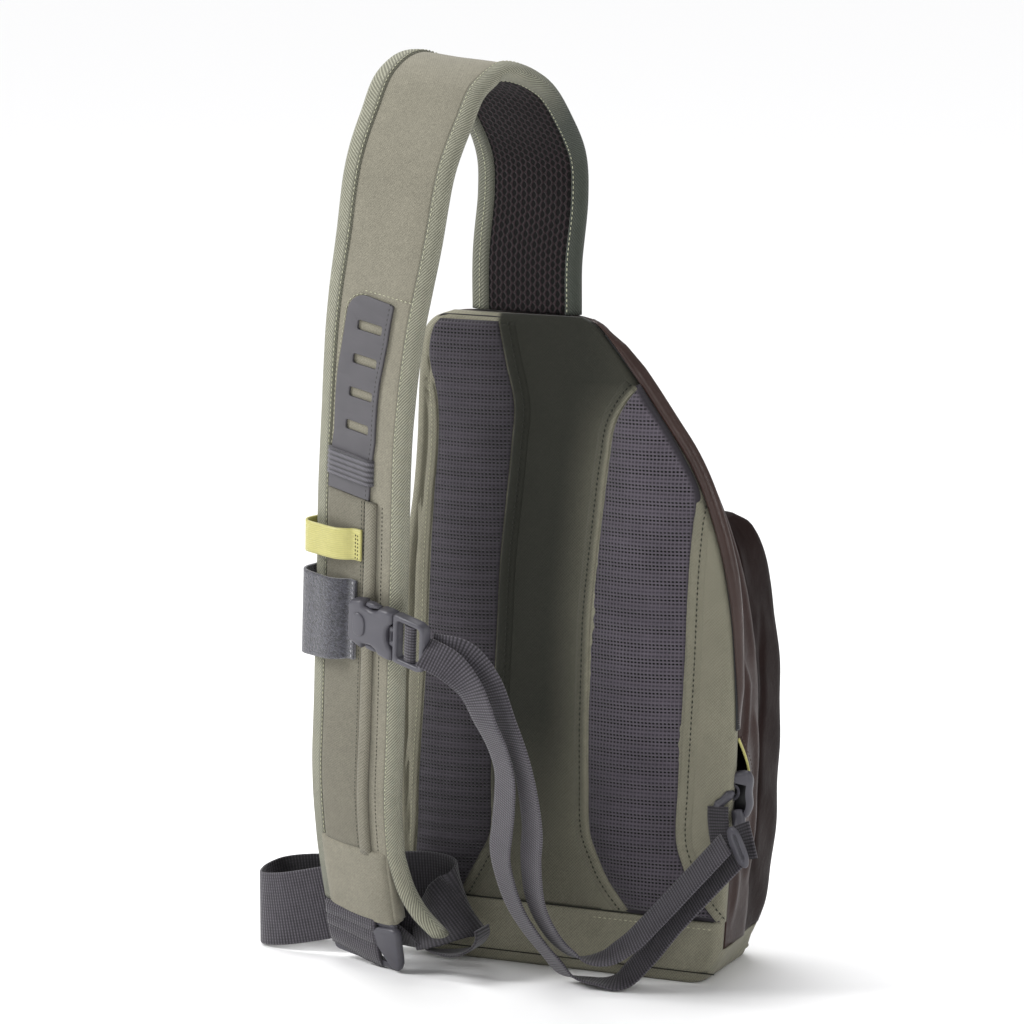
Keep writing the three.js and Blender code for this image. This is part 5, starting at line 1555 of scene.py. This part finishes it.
def pocket_body():
    first, last = POCKET[0, 0] * PACK_HEIGHT, POCKET[-1, 0] * PACK_HEIGHT
    zs = np.concatenate([wide_steps(first, last - 6, 3.0), last - np.array([4.5, 3, 1.8, 0.8, 0.2, 0])])
    rings = []
    rear = BACK + 0.34 * PACK_DEPTH
    for z in zs:
        up = z / PACK_HEIGHT
        left, right = (float(column(POCKET, k, up)) * HALF_WIDTH for k in (1, 2))
        front = BACK + float(column(POCKET, 3, up)) * PACK_DEPTH
        corner = float(column(POCKET, 4, up)) * PACK_DEPTH
        ring = ring_of(left, right, front, corner, rear, z, 200, rear_corner=3.0)
        x, y = ring[:, 0], ring[:, 1]
        hollow = 0.8 * np.sin(z / 23 + x / 27) + 0.5 * np.sin(z / 9 - x / 16 + y / 9)
        side = np.clip((y - rear - 4) / 10, 0, 1)
        crease = np.where(x > right - 26, 2.2 * bump(y, rear + 16 + (z - 160) / 11, 4.0), 0.0)
        crease = crease * np.clip((z - 60) / 30, 0, 1) * np.clip((250 - z) / 40, 0, 1)
        push = ring_push(ring) * ((hollow - crease - 0.6) * side * min(1.0, (last - z) / 12))[:, None]
        ring[:, :2] += push
        rings.append(ring)
    return loft("pocket_cloth", rings, shaded_pocket_bark, slot="coated_cloth", replaces=["front_pocket"])


def ring_push(ring):
    way = np.roll(ring[:, :2], -1, axis=0) - np.roll(ring[:, :2], 1, axis=0)
    way = way / np.maximum(np.linalg.norm(way, axis=1, keepdims=True), 1e-9)
    return np.stack([-way[:, 1], way[:, 0]], axis=1)


pocket_body()


def right_edge_line(up, push, y):
    """Points off the pack's right outline, pushed out of it."""
    step = 0.005
    rise = 2 * step * PACK_HEIGHT
    run = (outline(2, up + step) - outline(2, up - step)) * HALF_WIDTH
    size = np.hypot(rise, run)
    return np.stack([outline(2, up) * HALF_WIDTH + push * rise / size, y + up * 0,
                     up * PACK_HEIGHT - push * run / size], axis=-1)


def edge_roll():
    """Rolled flap of the shell over the zip, full at its middle and flat at both ends."""
    top, low = 0.9945, (OPENING_MIDDLE + OPENING_HALF + 4.4) / PACK_HEIGHT
    ups = np.linspace(top, low, 130)
    shape = smooth_line([(1.8, -43.4), (0.6, -47), (1.4, -50.6), (3.8, -51.9), (6.4, -50.6), (8.2, -47.4),
                         (8.2, -43.6), (5.2, -40.9), (2.4, -41.2)], 34, closed=True)
    rings = []
    for k, up in enumerate(ups):
        t = k / (len(ups) - 1)
        full = min(1.0, 0.1 + t * 7) * min(1.0, (1 - t) * 2.6)
        last = min(1.0, 0.08 + (1 - t) * 9) * min(1.0, 0.15 + t * 12)
        wobble = 0.35 * math.sin(k / 6.0) * full
        push = 1.0 + (shape[:, 0] - 1.0) * (0.35 + 0.65 * full) * last + wobble * 0.5
        y = -43.6 + (shape[:, 1] + 43.6) * (0.5 + 0.5 * full)
        rings.append(right_edge_line(np.full(len(shape), up), push, y))
    return loft("rolled_edge", rings, lit_roll_bark, slot="coated_cloth", replaces=["shell_roll"])


edge_roll()

zip_ups = np.linspace(1 - 12 / PACK_HEIGHT, 0.4, 90)
zip_line = right_edge_line(zip_ups, 0.9, -47.2)
zip_way = unit(right_edge_line(zip_ups, 2.0, -47.2) - zip_line)
for node in ("main_zip",):
    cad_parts[node].data.materials.clear()
    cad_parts[node].data.materials.append(zip_coil)
stitches("zip_teeth", [(zip_line + zip_way * 0.8, zip_way)], zip_coil,
         pitch=1.5, length=1.0, width=4.0, height=1.2)

trim_z = np.linspace(OPENING_MIDDLE - OPENING_HALF + 2, OPENING_MIDDLE + OPENING_HALF - 2, 50)
trim_y = np.array([shell_rear(z, True) - 0.6 for z in trim_z])
trim_line = np.stack([outline(2, trim_z / PACK_HEIGHT) * HALF_WIDTH - 0.6 + opening_bulge(trim_y, trim_z),
                      trim_y, trim_z], axis=1)
trim_track = Track(trim_line, lambda t, along: np.broadcast_to([1.0, 0.0, 0.0], along.shape))
round_section = np.array([(0.95 * math.cos(a), 0.95 * math.sin(a)) for a in np.linspace(0, 2 * math.pi, 9)[:-1]])
swept("opening_piping", trim_track, wide_steps(0, trim_track.length, 1.5), round_section, lime,
      slot="lime_webbing", replaces=["opening_trim"])
stitch_line = trim_line + np.array([0.9, 4.6, 0])
stitches("opening_stitches", [(stitch_line, np.array([1.0, 0.0, 0.0]))], bark_thread,
         pitch=3.0, length=2.0, width=0.7, height=0.6)


# ---- Plastic parts

def placed(points, origin, x, y, z):
    return origin + points[:, :1] * x + points[:, 1:2] * y + points[:, 2:3] * z


def plate_piece(name, outline_points, holes, thick, bevel, axes, origin, material=plastic, **made):
    points, faces = plate_mesh(outline_points, holes, thick, bevel)
    return make_piece(name, placed(points, origin, *axes), faces, material, **made)


across, toward, out = spot_axes(buckle_at)
# the part's own frame: X across the strap, Y down it, Z out of its face
down = -toward if toward[2] > 0 else toward
axes = (across, np.cross(out, across), out)
buckle_origin = strap_spot(buckle_at, BUCKLE_SIDE, BUCKLE_LIFT)

female = [(0, -12), (2.5, -14.5), (9, -16.2), (12, -16.8), (12.5, -13.4), (20, -12.2), (24, -13.4), (27, -16.4),
          (33, -17), (38.3, -16.6), (38.3, -9.5), (35.6, -7.2), (33.6, -3.5), (33.2, 0), (33.6, 3.5), (35.6, 7.2),
          (38.3, 9.5), (38.3, 16.6), (33, 17), (27, 16.4), (24, 13.4), (20, 12.2), (12.5, 13.4), (12, 16.8),
          (9, 16.2), (2.5, 14.5), (0, 12)]
plate_piece("strap_buckle_body", female, [], 9.6, 2.2, axes, buckle_origin, slot="plastic",
            replaces=["strap_buckle_female"])
male_frame = [(38.7, -16.2), (41, -17), (60, -17), (64.5, -15.4), (66, -12), (66, 12), (64.5, 15.4), (60, 17),
              (41, 17), (38.7, 16.2)]
male_hole = oval(42.5, 61.8, -13.2, 13.2, 2.0)
plate_piece("strap_buckle_frame", male_frame, [male_hole], 7.6, 1.5, axes, buckle_origin, slot="plastic",
            replaces=["strap_buckle_male"])
tongue = [(35, -6.4), (37.4, -7.4), (41, -4.8), (42.6, -2), (42.6, 2), (41, 4.8), (37.4, 7.4), (35, 6.4)]
plate_piece("strap_buckle_tongue", tongue, [oval(37, 39.5, -3.5, 3.5, 1.1)], 5.2, 1.1, axes, buckle_origin,
            slot="plastic")
for k, half in enumerate((-1, 1)):
    prong = [(13.4, half * 13.8), (18, half * 13.0), (24.5, half * 14.6), (26, half * 16.0), (19, half * 16.8),
             (14.5, half * 16.4)]
    prong = prong if half > 0 else prong[::-1]
    plate_piece(f"strap_buckle_prong_{k}", prong, [], 5.0, 1.0, axes, buckle_origin, slot="plastic")


def bar_track(start, end, out_way):
    line = np.stack([start + (end - start) * t for t in np.linspace(0, 1, 5)])
    return Track(line, lambda t, along: np.broadcast_to(out_way, along.shape))


bar_middle = buckle_origin + across * 51.5
bar_up = axes[1]
wrap = bar_track(bar_middle - bar_up * 12.4, bar_middle + bar_up * 12.4, across)
wrap_shape = [(4.6 * math.cos(a), 2.9 * math.sin(a)) for a in np.linspace(0, 2 * math.pi, 17)[:-1]]
swept("buckle_webbing_wrap", wrap, wide_steps(0, wrap.length, 1.0), np.array(wrap_shape), webbing,
      slot="webbing")
dome = [(6.5, -7), (10.5, -8.2), (14.5, -6), (15.6, 0), (14.5, 6), (10.5, 8.2), (6.5, 7), (5.4, 0)]
plate_piece("strap_buckle_dome", smooth_line(dome, 24, closed=True).tolist(), [], 2.0, 0.9,
            axes, buckle_origin + out * 4.9, slot="plastic")

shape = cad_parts["ladder_lock"]
shape.data.materials.clear()
shape.data.materials.append(plastic)


def rod(name, places, radii, material, slot):
    """Round rod through places, of a radius that changes along it."""
    track = Track(places, lambda t, along: np.broadcast_to([0.0, 1.0, 0.0], along.shape))
    steps = wide_steps(0, track.length, 1.0)

    def section(length):
        radius = float(np.interp(length / track.length, np.linspace(0, 1, len(radii)), radii))
        turns = np.linspace(0, 2 * math.pi, 13)[:-1]
        return np.stack([radius * np.cos(turns), radius * np.sin(turns)], axis=1)
    return swept(name, track, steps, section, material, slot=slot)


# Side buckle: domed body with a hole, an arm that ends in a ball, and its webbing
X, Y, Z = np.eye(3)
dome = smooth_line([(-9, -13), (-10.4, -4), (-11.4, 6), (-7, 11), (-2, 15), (7, 16), (10, 11), (9.4, 2),
                    (9.8, -8), (5, -16), (-4, -16.4)], 44, closed=True)
hole = [(-3.8 + 2.9 * math.cos(a), 2.2 + 2.9 * math.sin(a)) for a in np.linspace(0, 2 * math.pi, 17)[:-1]]
plate_piece("side_buckle_body", dome.tolist(), [hole], 8.2, 3.3, (X, Z, -Y), np.array([121.0, -43.6, 131.0]),
            slot="plastic", replaces=["side_buckle"])
plate_piece("side_buckle_back", (dome * 0.9).tolist(), [], 1.6, 0.7, (X, Z, -Y), np.array([121.0, -40.4, 131.0]),
            material=zip_coil, slot="plastic")
rod("side_buckle_arm", [(119.6, -48.2, 133.4), (116.6, -49.8, 131), (111.6, -51, 126), (107.4, -51.4, 122.4)],
    [1.4, 3.4, 3.0, 2.8, 3.6, 1.8], plastic, "plastic")
rod("side_buckle_foot", [(121, -45.6, 120), (123.4, -49, 113), (124.6, -55, 107)], [4.4, 4.6, 3.2], plastic, "plastic")
loop = ribbon_section(17, 3.0)
loop_track = Track([(110.0, -52.6, 123.6), (110.6, -53.8, 115), (112, -54.2, 105), (113.6, -53.8, 95)],
                   lambda t, along: np.broadcast_to([0.95, -0.3, 0.1], along.shape))
swept("side_webbing_loop", loop_track, wide_steps(0, loop_track.length, 1.0), loop, shaded_webbing, u=strip_u(loop),
      slot="webbing")
blade = 0.88 * smooth_line([(-16.5, 0), (-13.6, -4.6), (-6, -6.7), (3, -6.8), (11.5, -5.2), (16.2, 0), (11.5, 5.2),
                            (3, 6.8), (-6, 6.7), (-13.6, 4.6)], 44, closed=True)
blade_long = unit(np.array([0.42, -0.05, -0.9]))
blade_out = unit(np.array([-0.42, -0.86, -0.15]))
blade_out = unit(blade_out - blade_long * blade_out.dot(blade_long))
blade_wide = np.cross(blade_out, blade_long)
plate_piece("side_glide_blade", blade.tolist(), [oval(-8.4, 8.4, 0.5, 2.8, 1.1)], 3.6, 1.5,
            (blade_long, blade_wide, blade_out), glide_place + blade_out * 1.0 + np.array([5.5, -8.0, 1.5]),
            slot="plastic", replaces=["side_glide"])
tail = ribbon_section(17, 2.4)
tail_track = Track([(128, -60, 115), (130.4, -61.5, 109), (133, -62.6, 101), (135, -62.8, 93)],
                   lambda t, along: np.broadcast_to([0.9, -0.3, 0.3], along.shape))
swept("side_webbing_tail", tail_track, wide_steps(0, tail_track.length, 1.0), tail, shaded_webbing, u=strip_u(tail),
      slot="webbing")

# Stacked webbing that leaves the strap's end and lies over the plate
STACK = np.array([(0.5, 7.4), (-2.5, 10.2), (-9, 10.6), (-10.4, 9.4), (-13, 10.5), (-19.5, 10.4), (-20.8, 9.2),
                  (-23, 10.2), (-31, 9.6), (-36.5, 8.2), (-39.4, 5.6), (-39.8, 3.4), (-39, 2.4), (-38.9, 7.2),
                  (-20, 7.3), (-8, 7.3), (0, 6.4)])
stack_sides = np.concatenate([[-32.6, -32.2], np.linspace(-31.4, 11, 24), [12, 12.6]])
stack_rings = []
for side in stack_sides:
    near = min(1.0, 0.55 + min(side + 32.6, 12.6 - side) / 2)
    line = STACK.copy()
    line[:, 1] = 7.2 + (line[:, 1] - 7.2) * near + 0.15 * math.sin(side / 6)
    line[:, 0] *= 0.86 + 0.14 * np.clip((side + 32) / 30, 0, 1)
    ring = strap.point(line[:, 0], np.full(len(line), side), line[:, 1])
    ring[:, 2] = np.maximum(ring[:, 2], 0.4)
    stack_rings.append(ring)
loft("end_strands", stack_rings, webbing, v=stack_sides, slot="webbing", replaces=["strap_end_webbing"])


wedge = smooth_line([(10, -8.5), (18, -6), (30, -4.5), (32.4, -7), (32.6, -18), (31.8, -32), (28.6, -36.5),
                     (24, -35.5), (15, -26), (9.6, -16)], 40, closed=True)
wedge_points, wedge_faces = plate_mesh(wedge.tolist(), [], 6.0, 2.2)
bent = strap.point(wedge_points[:, 1], wedge_points[:, 0], 7.0 + wedge_points[:, 2])
bent[:, 2] = np.maximum(bent[:, 2], 0.3)
make_piece("plate_wedge", bent, wedge_faces, plastic, slot="plastic")


# ---- Studio

def stage_piece(name, points, faces, material):
    mesh = bpy.data.meshes.new(name)
    mesh.from_pydata(points, [], faces)
    mesh.materials.append(material)
    mesh.shade_smooth()
    piece = bpy.data.objects.new(name, mesh)
    bpy.context.scene.collection.objects.link(piece)
    return piece


floor_looks = Looks("pale floor", 0.8, Specular_IOR_Level=0.1)
floor_looks.colour((0.92, 0.92, 0.925))
stage_piece("floor", [(-30, -10, 0), (30, -10, 0), (30, 60, 0), (-30, 60, 0)], [(0, 1, 2, 3)], floor_looks.material)

world = bpy.data.worlds.new("studio")
world.use_nodes = True
world.node_tree.nodes["Background"].inputs["Color"].default_value = (1, 1, 1, 1)
world.node_tree.nodes["Background"].inputs["Strength"].default_value = 0.3
bpy.context.scene.world = world
bpy.context.scene.view_settings.view_transform = "Standard"


def turned_to(lamp, place, aim):
    lamp.location = place
    lamp.rotation_euler = (Vector(aim) - Vector(place)).to_track_quat("-Z", "Y").to_euler()
    bpy.context.scene.collection.objects.link(lamp)


def soft_light(name, place, aim, size, power):
    light = bpy.data.lights.new(name, "AREA")
    light.shape = "RECTANGLE"
    light.size, light.size_y = size
    light.energy = power
    turned_to(bpy.data.objects.new(name, light), place, aim)


sky = bpy.data.lights.new("overhead", "SUN")
sky.energy = 2.7
sky.angle = radians(50)
turned_to(bpy.data.objects.new("overhead", sky), (-1.0, 1.2, 3.0), (0, 0, 0))
soft_light("key", (-2.1, -1.5, 2.1), (-0.1, 0, 0.3), (0.9, 1.4), 85)
soft_light("side", (2.3, 0.1, 1.1), (0, 0, 0.25), (0.5, 1.4), 12)
soft_light("front", (1.3, -2.4, 1.5), (0, 0, 0.2), (1.4, 1.2), 16)
